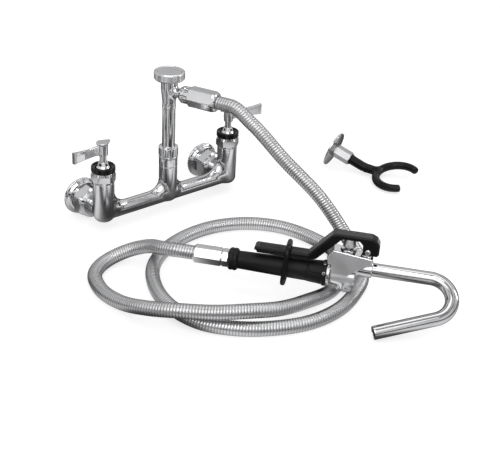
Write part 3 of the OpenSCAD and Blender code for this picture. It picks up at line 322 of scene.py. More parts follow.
def hex_lathe(corners, flats, steps=4, blend=0.12):
    """Lathe whose radius is the soft minimum -b ln(exp(-r / b) + exp(-hexagon / b))."""
    def radius(r, z, t):
        six = hex_radius(t, flats) + 0 * r
        return np.minimum(r, six) - blend * np.log1p(np.exp(-np.abs(r - six) / blend))
    return lathe(corners, steps, angles=hex_angles(), radius=radius)


print("hexagon corner radius for 24 mm flats:", round(float(hex_radius(np.radians([30.0]), 24)[0]), 2), "mm")

# %% [markdown]
# A casting has no sharp inside corners: the sand mould rounds them. Such a body is easiest to
# describe by distance: a function says how far a point is from the metal, and a soft minimum
# of two such distances melts two forms together with a fillet. The surface is then where the
# distance is zero. A grid finds the cells that it crosses, each of them gets one vertex, and a
# few Newton steps put that vertex exactly on the surface, with the gradient as its normal.

# %% Cast bodies from distances
def soft_union(a, b, fillet):
    """min(a, b) - f h (1 - h) with h = clip(1/2 + (b - a) / 2f): melts two forms together."""
    h = np.clip(0.5 + 0.5 * (b - a) / fillet, 0, 1)
    return b + (a - b) * h - fillet * h * (1 - h)


def soft_cut(a, b, edge=0.4):
    """Form a without form b, with the cut's edge rounded."""
    return -soft_union(-a, b, edge)


def rod(p, start, end, radius, edge=0.0, end_radius=None):
    """Distance to a round rod, or a cone, from start to end, its end edges rounded."""
    start, end = np.array(start, float), np.array(end, float)
    length = np.linalg.norm(end - start)
    axis = (end - start) / length
    along = (p - start) @ axis
    out = np.linalg.norm(p - start - along[..., None] * axis, axis=-1)
    wide = radius if end_radius is None else radius + (end_radius - radius) * np.clip(along / length, 0, 1)
    lean = 1 if end_radius is None else math.cos(math.atan2(end_radius - radius, length))
    return corner_in((out - wide) * lean, np.abs(along - length / 2) - length / 2, edge)


def corner_in(a, b, edge):
    """Where two faces meet: min(max(a, b), -e) + length(max(a + e, 0), max(b + e, 0))."""
    if edge <= 0:
        return np.maximum(a, b)
    return np.minimum(np.maximum(a, b), -edge) + np.hypot(np.maximum(a + edge, 0), np.maximum(b + edge, 0))


def outline_distance(x, z, corners):
    """Signed distance to a polygon, by its nearest side, negative inside."""
    corners = np.array(corners, float)
    best = np.full(x.shape, 1e9)
    inside = np.zeros(x.shape, bool)
    for (ax, az), (bx, bz) in zip(corners, np.roll(corners, -1, 0)):
        ex, ez = bx - ax, bz - az
        t = np.clip(((x - ax) * ex + (z - az) * ez) / (ex * ex + ez * ez), 0, 1)
        best = np.minimum(best, (x - ax - t * ex) ** 2 + (z - az - t * ez) ** 2)
        crosses = (az > z) != (bz > z)
        inside ^= crosses & (x < ex * (z - az) / (ez if ez else 1e-9) + ax)
    return np.where(inside, -1, 1) * np.sqrt(best)


def plate(p, corners, half, edge, grow=0.0):
    """Distance to an upright plate: a rounded outline in x and z, from -half to half in y."""
    flat = outline_distance(p[..., 0], p[..., 2], corners) - grow
    return corner_in(flat, np.abs(p[..., 1]) - half, edge)


NEWTON_STEPS, SLOPE_STEP, VERTEX_REACH = 6, 0.05, 0.75


def cast(distance, low, high, cell):
    """Surface nets of distance(p) = 0 over a box: points, quads, and unit gradients as normals."""
    low, high = np.array(low, float), np.array(high, float)
    counts = np.ceil((high - low) / cell).astype(int) + 1
    axes = [low[k] + cell * np.arange(counts[k]) for k in range(3)]
    grid = np.stack(np.meshgrid(*axes, indexing="ij"), -1)
    values = distance(grid)
    solid = values < 0
    corners = [solid[i:counts[0] - 1 + i, j:counts[1] - 1 + j, k:counts[2] - 1 + k]
               for i in (0, 1) for j in (0, 1) for k in (0, 1)]
    filled = sum(c.astype(int) for c in corners)
    crossed = (filled > 0) & (filled < 8)
    number = np.full(crossed.shape, -1)
    number[crossed] = np.arange(crossed.sum())
    points = low + cell * (np.argwhere(crossed) + 0.5)
    step, reach = cell * SLOPE_STEP, cell * VERTEX_REACH
    centre = points.copy()
    for _ in range(NEWTON_STEPS):
        value, slope = gradient(distance, points, step)
        size = np.maximum((slope ** 2).sum(1), 0.05)
        points = np.clip(points - (value / size)[:, None] * slope, centre - reach, centre + reach)
    quads = []
    for axis in range(3):
        a, b = (axis + 1) % 3, (axis + 2) % 3
        first = np.take(solid, np.arange(counts[axis] - 1), axis)
        second = np.take(solid, np.arange(1, counts[axis]), axis)
        edge = np.argwhere(first != second)
        beside = edge[:, [a, b]]
        edge = edge[((beside > 0) & (beside < counts[[a, b]] - 1)).all(1)]
        cells = []
        for da, db in ((0, 0), (-1, 0), (-1, -1), (0, -1)):
            cell_index = edge.copy()
            cell_index[:, a] += da
            cell_index[:, b] += db
            cells.append(number[tuple(cell_index.T)])
        quad = np.stack(cells, 1)
        outward = first[tuple(edge.T)]
        quads.append(np.where(outward[:, None], quad, quad[:, ::-1]))
    _, normals = gradient(distance, points, step)
    return points, [np.vstack(quads)], normals


def gradient(distance, points, step):
    """Value and central differences (d(p + h) - d(p - h)) / 2h."""
    slope = np.stack([(distance(points + step * e) - distance(points - step * e)) / (2 * step)
                      for e in np.eye(3)], 1)
    return distance(points), slope


print("casting tools ready")

# %% [markdown]
# Finishes come before the pieces, so that each piece is made with its own. Two effects are
# used by almost every finish and are therefore built once, as node groups: grain, the fine
# unevenness of a real surface with a roughness that wanders a little, and patches, the slow
# change of tone that handling and casting leave. Both read Object coordinates, which stay with
# the piece because every object sits at the origin.

# %% Shared effects
def new_group(name, inputs, outputs):
    """A node group with named sockets, and its input and output nodes."""
    group = bpy.data.node_groups.new(name, "ShaderNodeTree")
    for label, kind, value in inputs:
        group.interface.new_socket(label, in_out="INPUT", socket_type=kind).default_value = value
    for label, kind in outputs:
        group.interface.new_socket(label, in_out="OUTPUT", socket_type=kind)
    return group, group.nodes.new("NodeGroupInput"), group.nodes.new("NodeGroupOutput")


def fill(tree, node, inputs):
    """Fill a node's inputs: a socket is linked to them, and anything else is set as the value."""
    for label, value in inputs.items():
        if isinstance(value, bpy.types.NodeSocket):
            tree.links.new(value, node.inputs[label])
        else:
            node.inputs[label].default_value = value
    return node


def add_node(tree, kind, inputs):
    """A new shader node with its inputs filled."""
    return fill(tree, tree.nodes.new("ShaderNode" + kind), inputs)


def add_group(tree, group, inputs):
    """A node group placed in a material, with its inputs filled."""
    node = tree.nodes.new("ShaderNodeGroup")
    node.node_tree = group
    return fill(tree, node, inputs)


def mixed_tones(tree, factor, first, second):
    """Colour = first + factor (second - first)."""
    blend = tree.nodes.new("ShaderNodeMix")
    blend.data_type = "RGBA"
    return fill(tree, blend, {"Factor": factor, "A": first, "B": second}).outputs["Result"]


def noise(tree, scale, detail=3.0, roughness=0.5, vector=None):
    """A noise texture on Object coordinates, or on a vector that is given."""
    if vector is None:
        vector = add_node(tree, "TexCoord", {}).outputs["Object"]
    inputs = {"Vector": vector, "Scale": scale, "Detail": detail, "Roughness": roughness}
    return add_node(tree, "TexNoise", inputs).outputs["Fac"]


NOISE_SPAN = {"From Min": 0.35, "From Max": 0.65}


def make_grain():
    """Level = Low to High by a broad noise; Relief = fine noise of the given Size per metre."""
    number = "NodeSocketFloat"
    group, inside, outside = new_group(
        "grain", [("Size", number, 900.0), ("Low", number, 0.1), ("High", number, 0.2)],
        [("Level", number), ("Relief", number)])
    ends = {"To Min": inside.outputs["Low"], "To Max": inside.outputs["High"]}
    broad = add_node(group, "MapRange", {**NOISE_SPAN, **ends, "Value": noise(group, 45.0, 4.0)})
    fine = noise(group, inside.outputs["Size"], 2.0)
    fill(group, outside, {"Level": broad.outputs["Result"], "Relief": fine})
    return group


def make_patches():
    """Colour = mix of two tones by a slow noise of the given Size per metre."""
    group, inside, outside = new_group(
        "patches", [("Size", "NodeSocketFloat", 30.0), ("Light", "NodeSocketColor", (0.8, 0.8, 0.8, 1)),
                    ("Dark", "NodeSocketColor", (0.7, 0.7, 0.7, 1))], [("Colour", "NodeSocketColor")])
    slow = add_node(group, "MapRange", {**NOISE_SPAN, "Value": noise(group, inside.outputs["Size"], 3.0)})
    tone = mixed_tones(group, slow.outputs["Result"], inside.outputs["Light"], inside.outputs["Dark"])
    fill(group, outside, {"Colour": tone})
    return group


GRAIN, PATCHES = make_grain(), make_patches()
print("node groups:", GRAIN.name, "and", PATCHES.name)

# %% [markdown]
# Polished chrome is a mirror with a very slight haze. What it shows is mostly its
# surroundings, so its own colour is a light grey and its relief is a few micrometres of
# waviness. The satin, steel and brass finishes are the same recipe with a rougher level.
# Plastics, rubber and vinyl are not metal: they are dark, with a clear difference in roughness
# between them.

# %% Finishes
# The metals' dark Specular Tint paints a dark line round their outlines, a painted reflection of dark
# surroundings.
PAINTED_OUTLINE_TINT, PLAIN_GLOSS, COAT_HAZE = (0.25, 0.25, 0.25, 1), 0.2, 0.08


def finish_of(name, light, dark, metal, low, high, size=900.0, relief=0.02, patch=30.0, coat=0.0):
    """Principled surface: patches colour it, grain roughens it and raises it by relief mm.

    A metal gets a dark tint at grazing angles, which paints the thin dark line at its outline: a painted dark
    reflection.
    """
    material = bpy.data.materials.new(name)
    material.use_nodes = True
    tree = material.node_tree
    tone = add_group(tree, PATCHES, {"Size": patch, "Light": (*light, 1), "Dark": (*dark, 1)})
    grain = add_group(tree, GRAIN, {"Size": size, "Low": low, "High": high})
    bump = add_node(tree, "Bump", {"Distance": relief * MM, "Height": grain.outputs["Relief"]})
    gloss = {"Specular Tint": PAINTED_OUTLINE_TINT} if metal else {"Specular IOR Level": PLAIN_GLOSS}
    fill(tree, tree.nodes["Principled BSDF"], {
        "Metallic": metal, "Coat Weight": coat, "Coat Roughness": COAT_HAZE, **gloss,
        "Base Color": tone.outputs["Colour"], "Roughness": grain.outputs["Level"],
        "Normal": bump.outputs["Normal"]})
    return material


def grey(value):
    """A neutral tone, very slightly cool."""
    return (value, value * 1.002, value * 1.012)


chrome = finish_of("polished_chrome", grey(0.79), grey(0.72), 1, 0.05, 0.10, 260.0, 0.010)
cast_chrome = finish_of("chromed_casting", grey(0.78), grey(0.70), 1, 0.10, 0.17, 140.0, 0.030, 22.0)
cap_chrome = finish_of("spun_chrome", grey(0.86), grey(0.78), 1, 0.17, 0.25, 600.0, 0.010)
nut_chrome = finish_of("chromed_nut", grey(0.78), grey(0.70), 1, 0.07, 0.14, 500.0, 0.008)
satin_chrome = finish_of("satin_chrome", grey(0.80), grey(0.70), 1, 0.30, 0.40, 900.0, 0.008)
# The nozzle's chrome is polished chrome painted darker: painted shade that keeps the key lamp's reflection on
# it below white.
darkened_nozzle_chrome = finish_of("nozzle_chrome_painted_darker", grey(0.64), grey(0.56), 1, 0.05, 0.11, 300.0, 0.008)
satin_nickel = finish_of("satin_nickel", grey(0.62), grey(0.50), 1, 0.18, 0.28, 700.0, 0.008)
steel = finish_of("bright_steel", grey(0.62), grey(0.54), 1, 0.22, 0.34, 1500.0, 0.010)
brass = finish_of("turned_brass", (0.72, 0.55, 0.28), (0.62, 0.46, 0.22), 1, 0.25, 0.4, 900.0, 0.015)
handle_plastic = finish_of("moulded_plastic", grey(0.010), grey(0.006), 0, 0.30, 0.42, 2600.0, 0.030)
grip_rubber = finish_of("soft_rubber", grey(0.012), grey(0.008), 0, 0.36, 0.50, 2200.0, 0.045)
ring_black = finish_of("glossy_black", grey(0.008), grey(0.005), 0, 0.12, 0.2, 700.0, 0.008, coat=0.15)
vinyl = finish_of("black_vinyl_dip", grey(0.009), grey(0.006), 0, 0.16, 0.26, 320.0, 0.06, coat=0.05)
seal_rubber = finish_of("gasket_rubber", grey(0.035), grey(0.022), 0, 0.55, 0.7, 1800.0, 0.04)
ceramic = finish_of("fired_ceramic", (0.86, 0.85, 0.82), (0.80, 0.79, 0.76), 0, 0.15, 0.25, 1200.0, 0.005)
white_plastic = finish_of("white_moulding", (0.84, 0.84, 0.82), (0.78, 0.78, 0.76), 0, 0.3, 0.4, 1600.0, 0.01)


def by_attribute(material, attribute, low, high, dark):
    """Where the attribute is 1, roughness runs from low to high and the tone is the dark one."""
    tree = material.node_tree
    surface = tree.nodes["Principled BSDF"]
    level, tone = [surface.inputs[label].links[0].from_socket for label in ("Roughness", "Base Color")]
    mark = tree.nodes.new("ShaderNodeAttribute")
    mark.attribute_name = attribute
    share = mark.outputs["Fac"]
    rough = add_group(tree, GRAIN, {"Low": low, "High": high}).outputs["Level"]
    blend = add_node(tree, "Mix", {"Factor": share, "A": level, "B": rough}).outputs["Result"]
    fill(tree, surface, {"Roughness": blend, "Base Color": mixed_tones(tree, share, tone, (*dark, 1))})


hose_metal = finish_of("hose_metal", grey(0.70), grey(0.60), 1, 0.24, 0.34, 1800.0, 0.006)
# On the hose the groove mask also paints the grooves and the bore dark grey: painted shade in the hollows,
# beside their real higher roughness.
by_attribute(hose_metal, "groove", 0.4, 0.5, grey(0.30))
valve_metal = finish_of("valve_metal", grey(0.84), grey(0.78), 1, 0.06, 0.12, 300.0, 0.010)
by_attribute(valve_metal, "cheek", 0.40, 0.50, grey(0.76))
print("finishes:", len(bpy.data.materials))

# %% [markdown]
# The hose lies free between its fittings, so it comes before the other pieces. The photograph shows it from
# end to end, and the CAD lays it out through listed points between its two fittings: down
# from the outlet to the table, once round in a wide loop, and back up into the grip. The same
# points are used here, with the same smooth curve through them.

# %% Hose route
HOSE_RADIUS, HOSE_BORE, TABLE_Z = 8.7, 5.0, -25.4
LAY_Z = TABLE_Z + HOSE_RADIUS + 0.05
UPPER_NUT_END, LOWER_NUT_REAR = 71.0, -180.7
HOSE_POINTS = np.array([
    [46, -170, 129.8], [64.5, -213.6, 92.6], [85.5, -264.6, 52.6], [97.5, -298.6, 15.7], [97, -328, -6],
    [80, -351, -16.6], [50, -369, -16.6], [10, -383, -16.6], [-36, -383, -16.6],
    [-77, -368, -16.6], [-112, -344, -16.6], [-138, -310, -16.6], [-146, -268, -16.6],
    [-136, -222, -16.6], [-112, -184, -16.6], [-76, -159, -16.6], [-30, -146, -16.6],
    [12, -148, -16.6], [50, -164, -16.6], [82, -197, -16.6], [97, -242, -16.6],
    [96, -290, -16.6], [74, -328, -16.6], [30, -349, -16.6], [-20, -357, -9],
    [-62, -358, -2], [-97, -347, 2.5], [-133, -326, 3.2], [-161, -302, 3.2],
    [-181, -268, -4], [-190, -230, -13.5], [-191, -190, -16.6], [-177, -156, -16.6],
    [-148, -140, -16], [-120, -147, -8], [-106, -169, 3], [-103, -192, 10]])


def hose_route(steps=12):
    """Cubic Hermite curve through the points, straight for two radii at each end.

    A knot's direction weighs its two chords by the other one's length; heights stop at the table.
    """
    start, start_dir = carried(np.array([0, 0, UPPER_NUT_END]), OUTLET), OUTLET[:3, 2]
    end, end_dir = carried(np.array([LOWER_NUT_REAR, 0, 0]), VALVE), VALVE[:3, 0]
    straight = 2 * HOSE_RADIUS
    knots = np.vstack([start + straight * start_dir, HOSE_POINTS, end - straight * end_dir])
    chords = np.diff(knots, axis=0)
    spans = np.linalg.norm(chords, axis=1)[:, None]
    slopes = chords / spans
    middle = (spans[1:] * slopes[:-1] + spans[:-1] * slopes[1:]) / (spans[:-1] + spans[1:])
    dirs = np.vstack([start_dir, middle, end_dir])
    t = np.arange(steps)[None, :, None] / steps
    a, b = knots[:-1, None], knots[1:, None]
    u, v = (spans * dirs[:-1])[:, None], (spans * dirs[1:])[:, None]
    curve = ((2 * t**3 - 3 * t**2 + 1) * a + (t**3 - 2 * t**2 + t) * u
             + (3 * t**2 - 2 * t**3) * b + (t**3 - t**2) * v).reshape(-1, 3)
    curve[:, 2] = np.maximum(curve[:, 2], LAY_Z)
    return np.vstack([start, curve, knots[-1], end])


route = hose_route()
travel = np.concatenate([[0], np.cumsum(np.linalg.norm(np.diff(route, axis=0), axis=1))])
hose_length = travel[-1]
print("hose route:", len(route), "points,", round(hose_length), "mm")

# %% [markdown]
# The real hose is wound from a metal strip, so its ridge is a fine helix, and that is what this
# surface has in place of the CAD's coarser rings. The wall turns back inside at both ends and
# closes through the bore.

# %% Ribbed hose
RIB_PITCH, RIB_DEPTH, RINGS_PER_RIB, AROUND, BORE_RINGS, TANGENT_REACH = 3.3, 0.42, 5, 38, 110, 4


def on_route(s):
    """Points, tangents and two side vectors at the distances s along the route."""
    points, ahead, behind = [np.stack([np.interp(s + off, travel, line) for line in route.T], 1)
                             for off in (0, TANGENT_REACH, -TANGENT_REACH)]
    tangents = (ahead - behind) / np.linalg.norm(ahead - behind, axis=1)[:, None]
    side = np.cross(tangents, [0, 0, 1.0])
    side /= np.linalg.norm(side, axis=1)[:, None]
    return points, tangents, side, np.cross(tangents, side)


def make_hose():
    """Outer wall r = R - d (0.5 + 0.5 cos(2 pi (s / pitch + t / 2 pi)))^2, then the bore back."""
    count = int(hose_length / RIB_PITCH * RINGS_PER_RIB)
    t = np.arange(AROUND) * 2 * np.pi / AROUND
    rows, normals, groove_shades = [], [], []
    outside, inside = np.linspace(0, hose_length, count), np.linspace(hose_length, 0, BORE_RINGS)
    for s, outer in ((outside, True), (inside, False)):
        points, along, side, up = [v[:, None] for v in on_route(s)]
        round_it = np.cos(t)[None, :, None] * side + np.sin(t)[None, :, None] * up
        around = np.cos(t)[None, :, None] * up - np.sin(t)[None, :, None] * side
        phase = 2 * np.pi * s[:, None] / RIB_PITCH + t[None]
        wave = 0.5 + 0.5 * np.cos(phase)
        radius = (HOSE_RADIUS - RIB_DEPTH * wave**2 if outer else HOSE_BORE + 0 * wave)[..., None]
        slope = (RIB_DEPTH * wave * np.sin(phase) if outer else 0 * wave)[..., None]
        rows.append(points + radius * round_it)
        normal = round_it - slope * 2 * np.pi / RIB_PITCH * along - slope / radius * around
        normals.append(normal if outer else -round_it)
        # wave^4 marks the grooves, and 1 the bore, for the painted shade in the hose's finish.
        groove_shades.append(wave**4 if outer else np.ones_like(wave))
    points, faces, _ = skin(np.vstack(rows), ring=True)
    shape = (points, faces, np.vstack(normals).reshape(-1, 3))
    groove = {"groove": np.vstack(groove_shades).ravel()}
    return make_piece("ribbed_hose", shape, local(), hose_metal, "hose", groove)


hose = make_hose()

# %% [markdown]
# The mixing body is one casting: two valve towers, the bar between them, the boss under the
# riser, and the short necks to the wall. Its towers end in bowls, and wide fillets lead from
# the bar up into the towers and the boss. The fillets are wide above the bar and narrow below
# it, so the soft minimum gets a width that grows with height. The bores are cut last.

# %% Mixing body
TOWER_RADIUS, TOWER_TOP, TOWER_BOTTOM, BOWL = 13.75, 44.5, -12.4, 9.5
BAR_RADIUS, BAR_Z, BOSS_RADIUS, BOSS_TOP = 10.0, -2.0, 12.25, 41.9
NECK_RADIUS, NECK_END, LIP_RADIUS, LIP = 10.6, 31.0, 14.0, 4.0


def mixing_distance(p):
    """Towers, bar and boss melted together, necks added, bores cut; y points to the wall."""
    x, y, z = p[..., 0], p[..., 1], p[..., 2]
    q = np.stack([np.abs(x) - VALVE_SPAN / 2, y, z], -1)
    tower = corner_in(np.hypot(q[..., 0], y) - TOWER_RADIUS, TOWER_BOTTOM - z, BOWL)
    tower = corner_in(tower, z - TOWER_TOP, 0.5)
    bar = np.maximum(np.hypot(y, z - BAR_Z) - BAR_RADIUS, q[..., 0])
    rise = np.clip((z + 7) / 14, 0, 1)
    rise = rise * rise * (3 - 2 * rise)
    boss = corner_in(np.hypot(x, y) - BOSS_RADIUS, BAR_Z - BAR_RADIUS - z, 10)
    boss = corner_in(boss, z - BOSS_TOP, 0.4)
    neck = rod(q, (0, 0, 0), (0, NECK_END, 0), NECK_RADIUS, 0.4)
    lip = rod(q, (0, NECK_END - LIP, 0), (0, NECK_END, 0), LIP_RADIUS, 0.4)
    middle = np.clip(1 - (y / 15) ** 2, 0, 1)
    body = soft_union(tower, bar, 2 + 24 * rise * middle * np.clip(-q[..., 0] / 10, 0, 1))
    body = soft_union(body, boss, 2 + 18 * rise * middle * np.clip(np.abs(x) / 9, 0, 1))
    body = np.minimum(soft_union(body, neck, 4), lip)
    for bore in (rod(q, (0, 0, 8), (0, 0, 60), 9.45), rod(q, (0, 0, 35.5), (0, 0, 60), 12.0),
                 rod(q, (0, 0, 0), (0, NECK_END + 5, 0), 6.5), rod(q, (0, 0, 0), (0, 0, 10), 6.5),
                 rod(p, (-83.6, 0, BAR_Z), (83.6, 0, BAR_Z), 6), rod(p, (0, 0, BAR_Z), (0, 0, 60), 7),
                 rod(p, (0, 0, 30), (0, 0, 60), 8.7), rod(q, (-9.45, 0, 17), (-24, 0, BAR_Z), 3)):
        body = soft_cut(body, bore, 0.3)
    return body


mixing_shape = cast(mixing_distance, (-117, -15.5, -14), (117, 32.5, 46), 0.95)
make_piece("mixing_casting", mixing_shape, RISER, cast_chrome, "mixing_body")

# %% [markdown]
# Behind each tower a union nut ties the body to its wall flange. Seen from the front these
# are a bright disc with a rolled rim, and in front of it a big hexagon nut with turned shoulders.

# %% Wall flanges and union nuts
for name, inlet in INLET.items():
    flange = [
        (16.65, 0), (24.6, 0, 0.5), (25.4, 1.2, 0.8), (25.3, 3.4, 1.4), (22.8, 4.6, 2.5),
        (20.6, 7.2, 2.0), (18.6, 8.0, 0.8), (16.65, 8.0, 0.4)]
    make_piece(f"wall_flange_{name}", lathe(flange, turns=128), inlet, chrome, f"inlet_flange_{name}")
    nut = [(16.65, 13.0, 0.3), (18.6, 13.0, 0.5), (22.0, 15.4, 0.8), (22.0, 27.0, 2.0), (19.0, 31.2, 1.6),
           (15.2, 34.0, 1.2), (10.75, 34.0, 0.3), (10.75, 31.0), (16.65, 31.0)]
    make_piece(f"union_nut_{name}", hex_lathe(nut, 38.1), inlet, nut_chrome, f"coupling_nut_{name}")

# %% [markdown]
# Each valve tower carries, from below: a hexagon bonnet nut, a black index ring, the flared
# neck of the cartridge, and the stem. All of them are turned parts.

# %% Bonnets, index rings and cartridges
for name, tower in TOWER.items():
    bonnet = [(9.45, 38.0), (11.85, 38.0, 0.3), (11.85, 44.5), (14.1, 44.5, 0.4), (16.2, 46.9, 0.7),
              (16.2, 54.6, 1.6), (13.9, 58.8, 1.0), (9.45, 58.8, 0.3)]
    make_piece(f"bonnet_{name}", hex_lathe(bonnet, 28.0), tower, nut_chrome, f"bonnet_nut_{name}")
    index = [(9.45, 58.8), (14.6, 58.8, 0.6), (15.5, 60.0, 0.8), (15.5, 65.6, 1.0), (14.8, 66.5, 0.5),
             (13.4, 66.5, 0.6), (12.9, 64.7, 0.5), (9.45, 64.5)]
    make_piece(f"index_{name}", lathe(index), tower, ring_black, f"index_ring_{name}")
    neck = [
        (8.0, 8.0), (9.3, 8.0, 0.3), (9.3, 35.5), (11.5, 35.5, 0.2), (11.5, 38.0, 0.2), (9.3, 38.0),
        (9.3, 65.2, 0.9), (7.4, 67.6, 3.0), (6.0, 72.0, 0.8), (4.3, 72.0, 0.3), (4.3, 21.0),
        (8.0, 21.0)]
    make_piece(f"cartridge_neck_{name}", lathe(neck), tower, chrome, f"cartridge_{name}")

# %% [markdown]
# A lever handle is a small casting: a round hub with a pointed plate on top, and a thin
# upright blade that widens to its end, with a shallow pad on each side. The hub keeps its bore
# and the hole of its set screw.

# %% Lever handles
HUB_RADIUS, HUB_FROM, HUB_TO, SET_SCREW_Z = 6.5, 81.0, 96.0, 88.5
BLADE = [(2, 96.4), (12, 96.4), (24, 96.9), (36, 98.3), (50.5, 100.5), (50.5, 85.2), (40, 84.9), (28, 84.9),
         (16, 84.4), (2, 82.5)]


def handle_distance(p):
    """Hub, tapered top plate and blade melted together; pads, bore and screw hole cut."""
    x, y, z = p[..., 0], p[..., 1], p[..., 2]
    hub = rod(p, (0, 0, HUB_FROM), (0, 0, HUB_TO + 1), 6.2, 0.8, end_radius=HUB_RADIUS)
    t = np.clip(-x / 10.5, 0, 1)
    lens = np.hypot(x + 10.5 * t, y) - (8.0 - 6.0 * t)
    top = corner_in(lens, np.abs(z - 97.6) - 1.4, 0.9)
    swell = 1.45 + 0.35 * np.clip((x - 24) / 24, 0, 1) + 0.7 * np.clip((x - 45) / 5, 0, 1)
    blade = corner_in(outline_distance(x, z, BLADE) + 0.2, np.abs(y) - swell, 0.7)
    body = soft_union(soft_union(hub, top, 0.9), blade, 1.8)
    pad = corner_in(np.abs(x - 39.2) - 7.3, np.abs(z - 89.6 - 0.1 * (x - 39.2)) - 4.9, 1.2)
    body = soft_cut(body, np.maximum(pad, 1.3 - np.abs(y)), 0.25)
    body = soft_cut(body, rod(p, (0, 0, 70), (0, 0, 95), 4.3), 0.3)
    return soft_cut(body, rod(p, (-20, 0, SET_SCREW_Z), (-4, 0, SET_SCREW_Z), 2.05), 0.2)


handle_shape = cast(handle_distance, (-13.5, -9, 80), (51.5, 9, 102), 0.5)
for name, tower in TOWER.items():
    turned = tower @ local(z=-SIDES[name] * HANDLE_TURN)
    make_piece(f"lever_handle_{name}", handle_shape, turned, chrome, f"handle_{name}")

# %% [markdown]
# The riser stands in a stepped collar whose upper half is a ring of shallow scallops for the
# fingers. The tube itself is plain, with a bead under the vacuum breaker.

# %% Riser and collar
def scalloped(r, z, t):
    """r - 0.45 (0.5 + 0.5 cos 14 t)^2 above the groove of the collar, only on its outside."""
    high = np.clip((z - 56.5) / 1.5, 0, 1) * np.clip((68.5 - z) / 1.5, 0, 1) * (r > 12)
    return r - 0.45 * high * (0.5 + 0.5 * np.cos(14 * t)) ** 2


collar = [
    (8.7, 41.9), (12.4, 41.9, 0.4), (12.4, 52.8, 0.6), (12.9, 53.8, 0.4), (12.9, 55.6, 0.5),
    (12.2, 56.0, 0.2), (12.2, 56.8, 0.2), (13.0, 57.4, 0.4), (13.0, 61.0), (13.0, 65.0),
    (13.0, 67.8, 0.8), (10.6, 69.6, 1.0), (8.7, 69.6, 0.3)]
make_piece("collar", lathe(collar, turns=168, radius=scalloped), RISER, chrome, "riser_collar")
tube = [
    (7.2, 30.0), (8.55, 30.0, 0.3), (8.55, 122.6, 0.4), (9.0, 123.2, 0.4), (9.0, 127.2, 0.4),
    (8.0, 127.5), (7.2, 127.5)]
make_piece("riser", lathe(tube), RISER, chrome, "riser_tube")

# %% [markdown]
# The vacuum breaker lets air in when the water stops. Its body widens upwards like a goblet,
# and its outlet neck leaves at the side with a cast fillet. The cap is a short drum with a
# rolled edge and a slightly dished top.

# %% Vacuum breaker
BREAKER = RISER @ local(z=OUTLET_TURN)


def breaker_distance(p):
    """A goblet of revolution and its side neck, with the chamber and the water way cut."""
    x, y, z = p[..., 0], p[..., 1], p[..., 2]
    wide = np.interp(z, [127.3, 127.6, 130.5, 148, 150], [7.1, 8.75, 8.75, 10.6, 10.75])
    goblet = corner_in((np.hypot(x, y) - wide) * 0.98, np.abs(z - 140.75) - 22.25, 0.3)
    neck = rod(p, (0, 0, OUTLET_Z), (24, 0, OUTLET_Z), 6.25, 0.4)
    body = soft_union(goblet, neck, 4.5)
    for bore in (rod(p, (0, 0, 100), (0, 0, 141), 4.6), rod(p, (0, 0, 140), (0, 0, 170), 8.6),
                 rod(p, (0, 0, OUTLET_Z), (30, 0, OUTLET_Z), 4.5)):
        body = soft_cut(body, bore, 0.3)
    return body


breaker_shape = cast(breaker_distance, (-12, -12, 117.5), (25, 12, 164.2), 0.6)
make_piece("breaker_casting", breaker_shape, BREAKER, cast_chrome, "breaker_body")
cap = [
    (10.9, 160.5), (12.2, 160.5, 0.3), (18.8, 162.6, 1.0), (19.9, 164.0, 0.8), (19.9, 172.4, 2.6),
    (18.2, 173.5, 1.0), (16.4, 173.5, 0.6), (15.8, 173.1, 0.5), (0.05, 173.1), (0.05, 170.5),
    (9.6, 170.5), (9.6, 163.0), (10.9, 163.0)]
make_piece("breaker_drum_cap", lathe(cap, turns=128), RISER, cap_chrome, "breaker_cap")

# %% [markdown]
# At the outlet a turned adapter steps up to the long hexagon nut that holds the hose.

# %% Outlet fittings
adapter = [
    (4.5, 18.0), (8.6, 18.0, 0.5), (11.2, 21.8, 1.2), (11.2, 25.2, 0.4), (10.7, 25.6, 0.2),
    (10.7, 26.2, 0.2), (11.2, 26.6, 0.4), (11.2, 31.0, 0.4), (9.2, 31.0), (9.2, 40.0), (4.5, 40.0)]
make_piece("adapter", lathe(adapter), OUTLET, chrome, "outlet_adapter")
long_nut = [
    (9.35, 31.0), (11.6, 31.0, 0.4), (13.8, 33.0, 0.8), (13.8, 66.0, 2.0), (12.0, 69.8, 1.2),
    (10.4, 71.0, 0.8), (5.0, 71.0), (5.0, 42.0), (9.35, 42.0)]
make_piece("hose_nut_upper", hex_lathe(long_nut, 24.0), OUTLET, nut_chrome, "upper_hose_nut")
low_nut = [
    (5.0, -180.7), (9.4, -180.7, 0.5), (11.5, -178.9, 0.7), (11.5, -148.4, 0.8), (9.8, -146.7, 0.5),
    (8.05, -146.7), (8.05, -158.7), (5.0, -158.7)]
make_piece("hose_nut_lower", hex_lathe(low_nut, 20.0), GRIP, nut_chrome, "lower_hose_nut")
swivel = [
    (4.5, -156.7), (7.9, -156.7, 0.3), (7.9, -146.7), (9.6, -146.7, 0.4), (11.2, -145.6, 0.5),
    (11.2, -139.6, 0.5), (9.6, -138.7, 0.4), (5.95, -138.7), (5.95, -127.7), (4.5, -127.7)]
make_piece("swivel", hex_lathe(swivel, 19.4), GRIP, nut_chrome, "grip_adapter")

# %% [markdown]
# Next is the part that is held in the hand. A black spool-shaped ring, the tapered grip and a
# collar sit on a metal tube. The collar swells towards the valve, and a raised tongue on its
# side carries the two screws that hold it.

# %% Grip and collar
SCREW_X, SCREW_ANGLES = -24.8, {"upper": 22.0, "lower": 70.0}
spool = [(8.15, -138.7), (11.6, -138.7, 1.2), (13.5, -136.6, 1.6), (13.5, -134.0, 0.8), (12.7, -133.0, 0.6),
         (13.5, -132.0, 0.8), (13.5, -129.2, 1.4), (11.8, -127.4, 0.8), (8.15, -127.4)]
make_piece("spool_ring", lathe(spool), GRIP, grip_rubber, "grip_end_ring")


